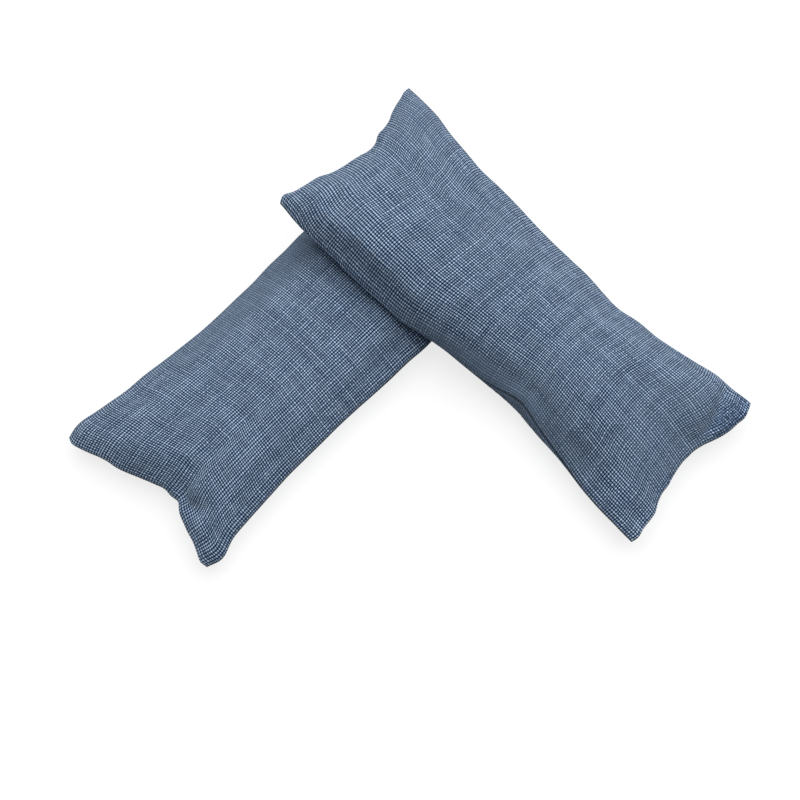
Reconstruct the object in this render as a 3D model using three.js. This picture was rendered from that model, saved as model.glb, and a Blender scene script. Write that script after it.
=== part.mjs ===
// A pair of charcoal deodorizer bags: two small linen pillows filled with charcoal granules.
// The lower bag lies flat. The upper bag lies across its far end and comes down to the floor.
// Millimetres, +Z up. The origin is under the middle of the pair, on the surface that it lies on.

import * as THREE from 'three';

// Driving dimensions of a bag, the same for both
const bagLength = 171; // corner tip to corner tip, along the bag
const bagWidth = 69; // corner tip to corner tip, across the bag
const coverThickness = 0.9; // linen-look cloth
const seamAllowance = 4; // cloth turned in along every edge
const threadDiameter = 0.4;
const threadClearance = 0.3; // from a thread to the cloth on each side of it
const threadInset = 1.2; // from the edge of the bag in to the line of stitches
const threadEndGap = 3; // from a corner to where a line of stitches starts
const linerThickness = 0.5; // non-woven cloth, sealed round its rim
const linerClearance = 0.8; // between the cover and the liner
const linerRimGap = 0.5; // between the liner's two sheets at their seal
const fillClearance = 0.7; // between the liner and the charcoal
const fillRimClearance = 1.6; // between the liner's seal and the charcoal
const bagGap = 0.7; // between the upper bag and the lower one where they touch
const contactBlend = 3; // how softly the upper bag bends round the lower one
const spanRadius = 40; // of the upper bag's underside where it lies over the lower bag

// How the two bags lie
const lowerCrossesAt = 38.6; // from the upper bag's raised end to the lower bag's middle line
const lowerReach = 29.3; // from the upper bag's middle line on to the lower bag's far end
const pairTurn = THREE.MathUtils.degToRad(-44.2); // of the upper bag's length from +X
const crossingTurn = THREE.MathUtils.degToRad(90); // of the lower bag's length from the upper's

// The lower bag's own shape: flatter, with a deep kink in its near end
const lowerShape = {
  crown: 11.5, // from the seam up to the top
  belly: 13, // from the seam down, before the floor flattens it
  seamHeight: 9, // of the seam above the floor
  cornerDrop: 2.5, // of the corner tips below the rest of the seam
  nearDraw: 9.2, // how far the near end is drawn in
  nearKinkShare: -0.3, // where across the bag it is drawn in most
  farDraw: 7,
  farKinkShare: 0.1,
  leftDraw: 2.4, // how far the sides are drawn in
  rightDraw: 4,
  narrowestShare: 0, // where along the bag they are drawn in most
  leftCurveShares: { near: 1.5, far: 3 }, // how soon each side is drawn in from its corners
  rightCurveShares: { near: 5, far: 4 },
  leftEarBulge: 1.2, // of the near corners, beyond the sides
  rightEarBulge: 2.8,
  earReach: 6,
  earShare: -0.93,
  cornerRound: 0.8, // of the corner tips
  farLeftBack: 0, // of the far left corner tip, short of the other
  // How much more or less than its crown the front is filled, each row running from the right side
  // to the left one, and the rows from the near end to the far one
  swellShares: [
    [0.05, 0.14, 0.11, -0.01, -0.1],
    [0.01, 0.04, -0.13, -0.15, -0.16],
    [-0.01, -0.08, -0.22, -0.27, -0.19],
    [-0.01, -0.02, -0.15, -0.23, -0.16],
    [0.02, 0.04, 0, -0.02, -0.03],
    [0, 0, 0, 0, 0],
    [0, 0, 0, 0, 0],
    [0, 0, 0, 0, 0],
    [0, 0, 0, 0, 0],
  ],
};

// The upper bag's own shape: rounder, narrower where it bends down to the floor
const upperShape = {
  crown: 12.5,
  belly: 13,
  seamHeight: 10,
  cornerDrop: 1.5,
  nearDraw: 7.2,
  nearKinkShare: 0.03,
  farDraw: 7.4,
  farKinkShare: 0.12,
  leftDraw: 5.8,
  rightDraw: 2.6,
  leftNotch: 1.6, // a further dip in a side, where the bag bends
  rightNotch: 6,
  notchReach: 25,
  narrowestShare: 0.26,
  leftCurveShares: { near: 6, far: 1.3 },
  rightCurveShares: { near: 4, far: 1.8 },
  leftEarBulge: 0,
  rightEarBulge: 1.2,
  earReach: 9,
  earShare: -0.88,
  cornerRound: 0.8,
  farLeftBack: 3.4,
  swellShares: [
    [0.01, -0.04, -0.07, -0.07, -0.04, 0.01, 0.05],
    [0.06, 0.03, -0.05, -0.14, -0.16, -0.12, -0.08],
    [0.08, 0.07, -0.03, -0.2, -0.27, -0.26, -0.19],
    [0.12, 0.08, -0.03, -0.2, -0.28, -0.29, -0.24],
    [0.16, 0.09, -0.02, -0.13, -0.2, -0.23, -0.21],
    [0.2, 0.16, 0.08, -0.01, -0.07, -0.12, -0.16],
    [0.25, 0.28, 0.23, 0.15, 0.09, 0.02, -0.07],
    [0.13, 0.31, 0.35, 0.26, 0.21, 0.17, 0.05],
    [-0.05, 0.19, 0.29, 0.22, 0.22, 0.25, 0.17],
    [-0.23, -0.09, 0.05, 0.05, 0.1, 0.21, 0.25],
    [-0.28, -0.26, -0.19, -0.14, -0.1, 0.03, 0.21],
  ],
};

// How the upper bag rises from the floor to its raised end
const raisedEndHeight = 21; // of its seam at the raised end above its seam on the floor
const bendStart = 112; // from the raised end to where the bag leaves the floor
const bendEnd = 24; // from the raised end to where it levels out again
const sideTiltHeight = 2.6; // of the near side above the middle, and of the far side below it

// Shares of the shape that all pieces of a bag follow
const endCurveShares = { near: 1.25, far: 1.25 }; // how pointed the kink in an end is
const lengthFullnessShare = 4.5; // how far the crown runs before it falls to an end
const widthFullnessShare = 2.3;
const shoulderShare = 0.62; // how round the crown's shoulders are
const linerFullnessShare = 8; // the liner is fuller at its rim than the cover
const linerShoulderShare = 0.45;
const cornerDropShare = 6; // how near the corner the seam starts to drop
const cornerRoundShare = 16; // how near the corner its rounding starts
const spanSlopeShare = 0.5; // how steeply the upper bag's underside comes down to the floor
const edgeSlopeShare = 1.5; // how steeply it leaves the lower bag's edge

// Counts of facets
const lengthSteps = 26;
const widthSteps = 12;
const sideThreadSteps = 34;
const endThreadSteps = 14;
const threadSides = 5;
const inverseRounds = 8;

const seamGap = threadDiameter + 2 * threadClearance;

// Materials, as the photograph shows them or as the hidden pieces have them
const linenBlue = new THREE.MeshStandardMaterial({ color: 0x5f7087, roughness: 0.9, metalness: 0 });
const threadBlue = new THREE.MeshStandardMaterial({ color: 0x3f5070, roughness: 0.8, metalness: 0 });
const linerWhite = new THREE.MeshStandardMaterial({ color: 0xdedcd6, roughness: 0.85, metalness: 0 });
const charcoal = new THREE.MeshStandardMaterial({ color: 0x1b1b1c, roughness: 0.7, metalness: 0 });

// A bump that is 1 at its kink and falls to 0 at both ends of a side
function drawnIn(place, kinkShare, curveShares) {
  const isNear = place < kinkShare;
  const span = isNear ? 1 + kinkShare : 1 - kinkShare;
  const away = Math.min(Math.abs(place - kinkShare) / span, 1);
  return 1 - away ** (isNear ? curveShares.near : curveShares.far);
}

// What rounding takes off a corner tip
function cornerCut(shape, a, b) {
  return shape.cornerRound * Math.abs(a * b) ** cornerRoundShare;
}

// Half the bag's length or width at a place on its outline, less the inset of an inner layer
function endReach(shape, a, b, inset) {
  const draw = a < 0 ? shape.nearDraw : shape.farDraw;
  const kinkShare = a < 0 ? shape.nearKinkShare : shape.farKinkShare;
  const back = a > 0 && b > 0 ? shape.farLeftBack * b : 0;
  const drawn = draw * drawnIn(b, kinkShare, endCurveShares);
  return bagLength / 2 - drawn - back - cornerCut(shape, a, b) - inset;
}

// A hump along a side that is full at one share and fades out over its reach
function humpAt(place, middleShare, reach) {
  const away = ((place - middleShare) * bagLength) / 2 / reach;
  return Math.exp(-(away ** 2));
}

function sideReach(shape, a, b, inset) {
  const isRight = b < 0;
  const draw = isRight ? shape.rightDraw : shape.leftDraw;
  const curveShares = isRight ? shape.rightCurveShares : shape.leftCurveShares;
  const drawn = draw * drawnIn(a, shape.narrowestShare, curveShares);
  const bulge = isRight ? shape.rightEarBulge : shape.leftEarBulge;
  const ear = bulge * humpAt(a, shape.earShare, shape.earReach);
  const half = bagWidth / 2 - drawn + ear - cornerCut(shape, a, b) - inset;
  if (!shape.notchReach) return half;
  const notch = isRight ? shape.rightNotch : shape.leftNotch;
  return half - notch * humpAt(a, shape.narrowestShare, shape.notchReach);
}

// The place in the bag's own plan of a pair of shares, each from -1 to 1
function planPoint(shape, a, b, inset) {
  return { x: a * endReach(shape, a, b, inset), y: b * sideReach(shape, a, b, inset) };
}

// The shares at a place in the plan, found by going round a few times
function planShares(shape, x, y, inset) {
  let a = 0;
  let b = 0;
  for (let round = 0; round < inverseRounds; round += 1) {
    a = THREE.MathUtils.clamp(x / endReach(shape, a, b, inset), -1, 1);
    b = THREE.MathUtils.clamp(y / sideReach(shape, a, b, inset), -1, 1);
  }
  return { a, b };
}

// How full the bag is at a pair of shares: 1 at the crown and 0 along the seam
function fullness(a, b, lengthShare, widthShare, shoulder) {
  const along = 1 - Math.abs(a) ** lengthShare;
  const across = 1 - Math.abs(b) ** widthShare;
  return (Math.max(along, 0) * Math.max(across, 0)) ** shoulder;
}

function coverFullness(a, b) {
  return fullness(a, b, lengthFullnessShare, widthFullnessShare, shoulderShare);
}

function smoothStep(t) {
  const s = THREE.MathUtils.clamp(t, 0, 1);
  return s * s * (3 - 2 * s);
}

// The larger of two heights, rounded where they meet
function softMax(first, second, blend) {
  return (first + second + Math.hypot(first - second, blend)) / 2;
}

// Height of the seam's plane over the floor at a place in the plan
function seamLevel(bag, { x, y }) {
  const { a, b } = planShares(bag.shape, x, y, 0);
  const corner = Math.abs(a * b) ** cornerDropShare;
  return bag.shape.seamHeight - bag.shape.cornerDrop * corner + bag.rise(x, y);
}

// The four weights of a smooth curve at a part of the step between two places in a row
function curveWeights(part) {
  const square = part ** 2;
  const cube = part ** 3;
  return [
    (-cube + 2 * square - part) / 2,
    (3 * cube - 5 * square + 2) / 2,
    (-3 * cube + 4 * square + part) / 2,
    (cube - square) / 2,
  ];
}

// Reads a row of values along a smooth curve, at a place counted in steps from its start
function readAlong(values, place) {
  const last = values.length - 1;
  const step = THREE.MathUtils.clamp(Math.floor(place), 0, last - 1);
  const weights = curveWeights(place - step);
  const near = weights.map((weight, i) => weight * values[THREE.MathUtils.clamp(step + i - 1, 0, last)]);
  return near.reduce((sum, value) => sum + value, 0);
}

// How much more or less than its crown the front is filled at a pair of shares
function swellAt({ swellShares }, a, b) {
  const across = ((b + 1) / 2) * (swellShares[0].length - 1);
  const along = ((a + 1) / 2) * (swellShares.length - 1);
  return readAlong(swellShares.map((row) => readAlong(row, across)), along);
}

// Height of the front or back surface of a layer, its thickness inwards being the inset
function frontLevel(bag, a, b, inset, rimLift) {
  const place = planPoint(bag.shape, a, b, inset);
  const crown = bag.shape.crown * (1 + swellAt(bag.shape, a, b)) - inset - rimLift;
  return seamLevel(bag, place) + rimLift + crown * coverFullness(a, b);
}

function backLevel(bag, a, b, inset, rimDrop) {
  const place = planPoint(bag.shape, a, b, inset);
  const belly = bag.shape.belly - inset - rimDrop;
  const edge = seamLevel(bag, place) - rimDrop;
  return Math.min(bag.support(place, edge - belly * coverFullness(a, b), inset), edge);
}

// The lower bag lies on the floor
const lowerBag = {
  prefix: 'lower_',
  shape: lowerShape,
  rise: () => 0,
  support: (place, free, inset) => Math.max(free, inset),
};

// Places in the upper bag's plan are turned into the lower bag's plan
const upperMiddle = new THREE.Vector2(bagLength / 2 - lowerCrossesAt, 0);
const lowerMiddle = new THREE.Vector2(0, lowerReach - bagLength / 2);

// Height of the lower bag's crown under such a place. Away from its middle line the cloth above it
// spans down to the floor, ever more steeply.
function lowerTopUnder({ x, y }) {
  const place = new THREE.Vector2(x, y).add(upperMiddle).sub(lowerMiddle);
  place.rotateAround(new THREE.Vector2(0, 0), -crossingTurn);
  const { a, b } = planShares(lowerShape, place.x, place.y, 0);
  const fall = spanSlopeShare * (Math.hypot(place.y, spanRadius) - spanRadius);
  const span = frontLevel(lowerBag, a, 0, 0, seamGap / 2) - fall;
  const edge = planPoint(lowerShape, a, b, 0);
  const past = Math.hypot(place.x - edge.x, place.y - edge.y);
  const surface = frontLevel(lowerBag, a, b, 0, seamGap / 2) - edgeSlopeShare * past;
  return Math.max(span, surface);
}

// The upper bag slopes up from the floor over the lower one, and its underside follows it
const upperBag = {
  prefix: 'upper_',
  shape: upperShape,
  rise: (x, y) => {
    const fromRaised = x + bagLength / 2;
    const climb = smoothStep((bendStart - fromRaised) / (bendStart - bendEnd));
    return climb * (raisedEndHeight - (sideTiltHeight * y) / (bagWidth / 2));
  },
  support: (place, free, inset) => {
    const onLower = lowerTopUnder(place) + bagGap + inset;
    const fromRaised = place.x + bagLength / 2;
    if (fromRaised > bendStart) return Math.max(free, inset);
    return Math.max(softMax(free, onLower, contactBlend), inset);
  },
};

// Shares along a side, somewhat closer together near its ends
function spacedShare(step, steps) {
  const even = (2 * step) / steps - 1;
  return (even + Math.sin((Math.PI / 2) * even)) / 2;
}

// A sheet of points over the bag's plan, as rows of vectors
function sheetPoints(pointAt) {
  const rows = [];
  for (let row = 0; row <= widthSteps; row += 1) {
    const b = spacedShare(row, widthSteps);
    const points = [];
    for (let column = 0; column <= lengthSteps; column += 1) {
      points.push(pointAt(spacedShare(column, lengthSteps), b));
    }
    rows.push(points);
  }
  return rows;
}

// The points round the edge of a sheet, once round, anticlockwise from above
function rimOf(rows) {
  const lastRow = rows.length - 1;
  const lastColumn = rows[0].length - 1;
  const rim = [];
  for (let column = 0; column < lastColumn; column += 1) rim.push(rows[0][column]);
  for (let row = 0; row < lastRow; row += 1) rim.push(rows[row][lastColumn]);
  for (let column = lastColumn; column > 0; column -= 1) rim.push(rows[lastRow][column]);
  for (let row = lastRow; row > 0; row -= 1) rim.push(rows[row][0]);
  return rim;
}

// Gathers triangles and merges their points into one closed body
class SolidBuilder {
  constructor() {
    this.places = [];
    this.numbers = new Map();
    this.faces = [];
  }

  number(point) {
    if (!this.numbers.has(point)) {
      this.numbers.set(point, this.places.length / 3);
      this.places.push(point.x, point.y, point.z);
    }
    return this.numbers.get(point);
  }

  triangle(p, q, r) {
    this.faces.push(this.number(p), this.number(q), this.number(r));
  }

  quad(p, q, r, s) {
    this.triangle(p, q, r);
    this.triangle(p, r, s);
  }

  sheet(rows, facesUp) {
    for (let row = 0; row + 1 < rows.length; row += 1) {
      for (let column = 0; column + 1 < rows[row].length; column += 1) {
        const corners = [rows[row][column], rows[row][column + 1]];
        corners.push(rows[row + 1][column + 1], rows[row + 1][column]);
        if (!facesUp) corners.reverse();
        this.quad(...corners);
      }
    }
  }

  band(upper, lower) {
    for (let step = 0; step < upper.length; step += 1) {
      const next = (step + 1) % upper.length;
      this.quad(upper[step], lower[step], lower[next], upper[next]);
    }
  }

  geometry() {
    const made = new THREE.BufferGeometry();
    made.setAttribute('position', new THREE.Float32BufferAttribute(this.places, 3));
    made.setIndex(this.faces);
    return made;
  }
}

function pieceMesh(bag, name, geometry, material) {
  const mesh = new THREE.Mesh(geometry, material);
  mesh.name = bag.prefix + name;
  return mesh;
}

// A point of one of the bag's layers: its plan place and the layer's height there
function layerPoint(bag, a, b, inset, level) {
  const { x, y } = planPoint(bag.shape, a, b, inset);
  return new THREE.Vector3(x, y, level(a, b));
}

// One cover panel: outer face, the edge turned in as a flap beside the seam, and inner face
function coverPanel(bag, name, isFront) {
  const side = isFront ? 1 : -1;
  const level = isFront ? frontLevel : backLevel;
  const outerRim = seamGap / 2;
  const flapTop = outerRim + coverThickness;
  const outer = sheetPoints((a, b) => layerPoint(bag, a, b, 0, () => level(bag, a, b, 0, outerRim)));
  const inner = sheetPoints((a, b) => layerPoint(
    bag,
    a,
    b,
    coverThickness,
    () => level(bag, a, b, coverThickness, flapTop),
  ));
  const outerEdge = rimOf(outer);
  const innerEdge = rimOf(inner);
  const flapAt = (point, height) => {
    const { a, b } = planShares(bag.shape, point.x, point.y, 0);
    const flat = planPoint(bag.shape, a, b, seamAllowance);
    return new THREE.Vector3(flat.x, flat.y, seamLevel(bag, flat) + side * height);
  };
  const flapOuter = outerEdge.map((point) => flapAt(point, outerRim));
  const flapInner = outerEdge.map((point) => flapAt(point, flapTop));
  const solid = new SolidBuilder();
  solid.sheet(outer, isFront);
  solid.sheet(inner, !isFront);
  const rims = [outerEdge, flapOuter, flapInner, innerEdge];
  for (let step = 0; step + 1 < rims.length; step += 1) {
    const pair = [rims[step], rims[step + 1]];
    if (!isFront) pair.reverse();
    solid.band(...pair);
  }
  return pieceMesh(bag, name, solid.geometry(), linenBlue);
}

// Height of a layer inside the cover: full at its own rim, and never nearer than its clearance
function innerLevel(bag, a, b, inset, isFront, clearOfCover) {
  const place = planPoint(bag.shape, a, b, inset);
  const outside = planShares(bag.shape, place.x, place.y, coverThickness);
  const seam = seamLevel(bag, place);
  const flapTop = seamGap / 2 + coverThickness;
  const shape = fullness(a, b, linerFullnessShare, linerFullnessShare, linerShoulderShare);
  if (isFront) {
    const roof = frontLevel(bag, outside.a, outside.b, coverThickness, flapTop) - clearOfCover;
    return seam + Math.max(roof - seam, 0) * shape;
  }
  const ground = backLevel(bag, outside.a, outside.b, coverThickness, flapTop) + clearOfCover;
  return seam - Math.max(seam - ground, 0) * shape;
}

const linerInset = seamAllowance + linerClearance;

// One sheet of the liner, which bulges inside the cover and is flat at its sealed rim
function linerSheet(bag, name, isFront) {
  const side = isFront ? 1 : -1;
  const lift = (side * linerRimGap) / 2;
  const sheetAt = (depth) => sheetPoints((a, b) => {
    const clear = linerClearance + depth;
    const level = () => innerLevel(bag, a, b, linerInset, isFront, clear);
    const point = layerPoint(bag, a, b, linerInset + depth, level);
    point.z += lift + side * (linerThickness - depth) * (1 - coverFullness(a, b));
    return point;
  });
  const outer = sheetAt(0);
  const inner = sheetAt(linerThickness);
  const solid = new SolidBuilder();
  solid.sheet(outer, isFront);
  solid.sheet(inner, !isFront);
  const pair = [rimOf(outer), rimOf(inner)];
  if (!isFront) pair.reverse();
  solid.band(...pair);
  return pieceMesh(bag, name, solid.geometry(), linerWhite);
}

// The body of charcoal granules, which fills the liner
function charcoalFill(bag) {
  const inset = linerInset + linerThickness + fillRimClearance;
  const clear = linerClearance + linerThickness + fillClearance;
  const faceAt = (isFront) => sheetPoints((a, b) => {
    const level = () => innerLevel(bag, a, b, inset, isFront, clear);
    return layerPoint(bag, a, b, inset, level);
  });
  const top = faceAt(true);
  const bottom = faceAt(false);
  const topRim = rimOf(top);
  const bottomRim = rimOf(bottom);
  const joined = new Map(bottomRim.map((point, step) => [point, topRim[step]]));
  const closed = bottom.map((row) => row.map((point) => joined.get(point) ?? point));
  const solid = new SolidBuilder();
  solid.sheet(top, true);
  solid.sheet(closed, false);
  return pieceMesh(bag, 'charcoal_fill', solid.geometry(), charcoal);
}

// A line of stitches between the two panels' turned-in edges
function seamThread(bag, name, steps, sharesAt) {
  const points = [];
  for (let step = 0; step <= steps; step += 1) {
    const { a, b } = sharesAt((2 * step) / steps - 1);
    const place = planPoint(bag.shape, a, b, threadInset);
    points.push(new THREE.Vector3(place.x, place.y, seamLevel(bag, place)));
  }
  const section = new THREE.Shape();
  for (let side = 0; side < threadSides; side += 1) {
    const angle = (2 * Math.PI * side) / threadSides;
    const place = [Math.cos(angle), Math.sin(angle)].map((part) => (part * threadDiameter) / 2);
    if (side === 0) section.moveTo(...place);
    else section.lineTo(...place);
  }
  const extrudePath = new THREE.CatmullRomCurve3(points);
  const geometry = new THREE.ExtrudeGeometry(section, { steps, extrudePath });
  return pieceMesh(bag, name, geometry, threadBlue);
}

function seamThreads(bag) {
  const alongShare = 1 - threadEndGap / (bagLength / 2);
  const acrossShare = 1 - threadEndGap / (bagWidth / 2);
  return [
    seamThread(bag, 'left_seam_thread', sideThreadSteps, (t) => ({ a: t * alongShare, b: 1 })),
    seamThread(bag, 'right_seam_thread', sideThreadSteps, (t) => ({ a: t * alongShare, b: -1 })),
    seamThread(bag, 'end_seam_thread', endThreadSteps, (t) => ({ a: -1, b: t * acrossShare })),
    seamThread(bag, 'closing_thread', endThreadSteps, (t) => ({ a: 1, b: t * acrossShare })),
  ];
}

function buildBag(bag, middle, turn) {
  const group = new THREE.Group();
  group.add(coverPanel(bag, 'front_panel', true));
  group.add(coverPanel(bag, 'back_panel', false));
  group.add(linerSheet(bag, 'liner_front', true));
  group.add(linerSheet(bag, 'liner_back', false));
  group.add(charcoalFill(bag));
  group.add(...seamThreads(bag));
  group.position.set(middle.x, middle.y, 0);
  group.rotation.z = turn;
  return group;
}

const pair = new THREE.Group();
pair.add(buildBag(upperBag, upperMiddle, 0));
pair.add(buildBag(lowerBag, lowerMiddle, crossingTurn));
pair.rotation.z = pairTurn;

const charcoalBags = new THREE.Group();
charcoalBags.add(pair);
charcoalBags.updateMatrixWorld(true);
const box = new THREE.Box3().setFromObject(charcoalBags, true);
const centre = box.getCenter(new THREE.Vector3());
charcoalBags.position.set(-centre.x, -centre.y, -box.min.z);

export default charcoalBags;
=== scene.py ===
"""Dresses a pair of charcoal deodorizer bags: two linen pillows, one lying across the other."""

import logging
import math
from dataclasses import dataclass, field, replace
from enum import Enum
from typing import Callable, Sequence

import bmesh
import bpy
import numpy as np
from mathutils import Matrix, Vector


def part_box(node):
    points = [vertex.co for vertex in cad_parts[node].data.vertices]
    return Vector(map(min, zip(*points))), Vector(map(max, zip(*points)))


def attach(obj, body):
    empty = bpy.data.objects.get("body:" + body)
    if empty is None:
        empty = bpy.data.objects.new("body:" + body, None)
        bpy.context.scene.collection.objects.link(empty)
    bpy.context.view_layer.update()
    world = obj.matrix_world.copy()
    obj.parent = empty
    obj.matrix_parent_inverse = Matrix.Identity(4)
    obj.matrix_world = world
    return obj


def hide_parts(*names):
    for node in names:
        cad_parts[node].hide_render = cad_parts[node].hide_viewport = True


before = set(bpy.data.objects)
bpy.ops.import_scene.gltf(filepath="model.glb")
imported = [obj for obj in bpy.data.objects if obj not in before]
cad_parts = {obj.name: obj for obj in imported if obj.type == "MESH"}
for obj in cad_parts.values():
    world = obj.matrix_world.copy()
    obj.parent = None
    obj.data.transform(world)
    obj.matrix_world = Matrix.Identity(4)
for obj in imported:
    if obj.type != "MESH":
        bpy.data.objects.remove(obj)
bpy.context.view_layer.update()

LOG = logging.getLogger("charcoal_bags")

# Sizes of a bag, in metres, as the solids have them
BAG_LENGTH = 0.171
BAG_WIDTH = 0.069
SEAM_GAP = 0.001
RIM_LIFT = 0.0003
COVER_THICKNESS = 0.0009
THREAD_INSET = 0.0012
THREAD_END_GAP = 0.003
LINER_INSET = 0.0048
LINER_CLEARANCE = 0.0008
LINER_THICKNESS = 0.0005
FILL_INSET = 0.0069
FILL_CLEARANCE = 0.002

# The cloth: yarns counted over the bag's width and length
PROFILE_POWER = 0.62
YARNS_ACROSS = 71
YARNS_ALONG = 196
CLOTH_MAP = "cloth"
WEAR_AND_SHADE_MAP = "wear_and_painted_shade"
BAKE_MAP = "OFBake"

Grid = np.ndarray


class Face(Enum):
    """The two faces of a bag."""

    FRONT = 1
    BACK = -1

    @property
    def word(self) -> str:
        """Returns the word that names of pieces hold for this face."""
        return "front" if self is Face.FRONT else "back"


def smooth_step(value: Grid, low: float, high: float) -> Grid:
    """Rises smoothly from 0 to 1.

    Args:
        value: Where on the rise.
        low: Where it starts.
        high: Where it ends.

    Returns:
        The height of the step at each value.
    """
    part = np.clip((value - low) / (high - low), 0.0, 1.0)
    return part * part * (3.0 - 2.0 * part)


def cubic_sample(field_grid: Grid, rows: Grid, columns: Grid) -> Grid:
    """Reads a grid between its points, along smooth cubic curves.

    Args:
        field_grid: Values at the grid's points, with or without a last axis of components.
        rows: Places along the first axis, counted in points.
        columns: Places along the second axis, counted in points.

    Returns:
        The values at those places.
    """
    height, width = field_grid.shape[:2]
    row_floor = np.clip(np.floor(rows).astype(int), 0, height - 2)
    column_floor = np.clip(np.floor(columns).astype(int), 0, width - 2)
    extra = (1,) * (field_grid.ndim - 2)

    def weights(part: Grid) -> list[Grid]:
        """Returns the four weights of a smooth cubic curve at a part of a step."""
        square, cube = part**2, part**3
        return [
            (-cube + 2 * square - part) / 2,
            (3 * cube - 5 * square + 2) / 2,
            (-3 * cube + 4 * square + part) / 2,
            (cube - square) / 2,
        ]

    row_weights = weights(rows - row_floor)
    column_weights = weights(columns - column_floor)
    total: Grid = np.zeros(rows.shape + field_grid.shape[2:])
    for row_step in range(4):
        row = np.clip(row_floor + row_step - 1, 0, height - 1)
        for column_step in range(4):
            column = np.clip(column_floor + column_step - 1, 0, width - 1)
            weight = row_weights[row_step] * column_weights[column_step]
            total = total + field_grid[row, column] * weight.reshape(weight.shape + extra)
    return total


def gap_steps(values: Grid, axis: int) -> Grid:
    """Adds up the lengths of the steps along one axis of a grid of points.

    Args:
        values: Points, three numbers each.
        axis: The axis to walk along.

    Returns:
        The distance walked from the first point, at each point.
    """
    steps = np.linalg.norm(np.diff(values, axis=axis), axis=-1)
    start = np.zeros_like(np.take(steps, [0], axis=axis))
    return np.concatenate([start, np.cumsum(steps, axis=axis)], axis=axis)


def grid_normals(points: Grid, outward: float) -> Grid:
    """Finds the outward direction at each point of a grid.

    Args:
        points: The grid, rows along the bag and columns across it.
        outward: 1 for a face that looks up and -1 for one that looks down.

    Returns:
        A unit vector for each point.
    """
    along = np.gradient(points, axis=0)
    across = np.gradient(points, axis=1)
    normal = np.cross(along, across) * outward
    return normal / np.maximum(np.linalg.norm(normal, axis=-1, keepdims=True), 1e-12)


@dataclass(frozen=True)
class Ripple:
    """Soft random lumps, the same on every run."""

    seed: int
    spacing: float
    height: float

    def over(self, x: Grid, y: Grid) -> Grid:
        """Reads the lumps at places in a plane.

        Args:
            x: Places along the first direction, in metres.
            y: Places along the second direction, in metres.

        Returns:
            The height of the lumps there, in metres.
        """
        rows = (x - x.min()) / self.spacing + 1.5
        columns = (y - y.min()) / self.spacing + 1.5
        size = (int(rows.max()) + 4, int(columns.max()) + 4)
        lattice = np.random.RandomState(self.seed).uniform(-1.0, 1.0, size)
        return self.height * cubic_sample(lattice, rows, columns)


@dataclass(frozen=True)
class Crease:
    """A valley or ridge pressed into a bag's front, from one place in its plan to another."""

    start: tuple[float, float]
    end: tuple[float, float]
    depth: float
    width: float
    shelf: float = 0.0

    def press(self, x: Grid, y: Grid) -> Grid:
        """Finds how far the crease lowers the cloth.

        Args:
            x: Places along the bag.
            y: Places across the bag.

        Returns:
            The depth at each place, in metres.
        """
        run = np.array(self.end) - np.array(self.start)
        length = float(np.hypot(*run))
        way = run / length
        along = (x - self.start[0]) * way[0] + (y - self.start[1]) * way[1]
        across = -(x - self.start[0]) * way[1] + (y - self.start[1]) * way[0]
        fade = smooth_step(along, -0.5 * length * 0.4, 0.2 * length)
        fade = fade * (1 - smooth_step(along, 0.8 * length, 1.2 * length))
        valley = self.depth * np.exp(-((across / self.width) ** 2))
        beyond = self.shelf * smooth_step(across, 0.0, 2.5 * self.width)
        return fade * (valley - beyond)


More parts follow.
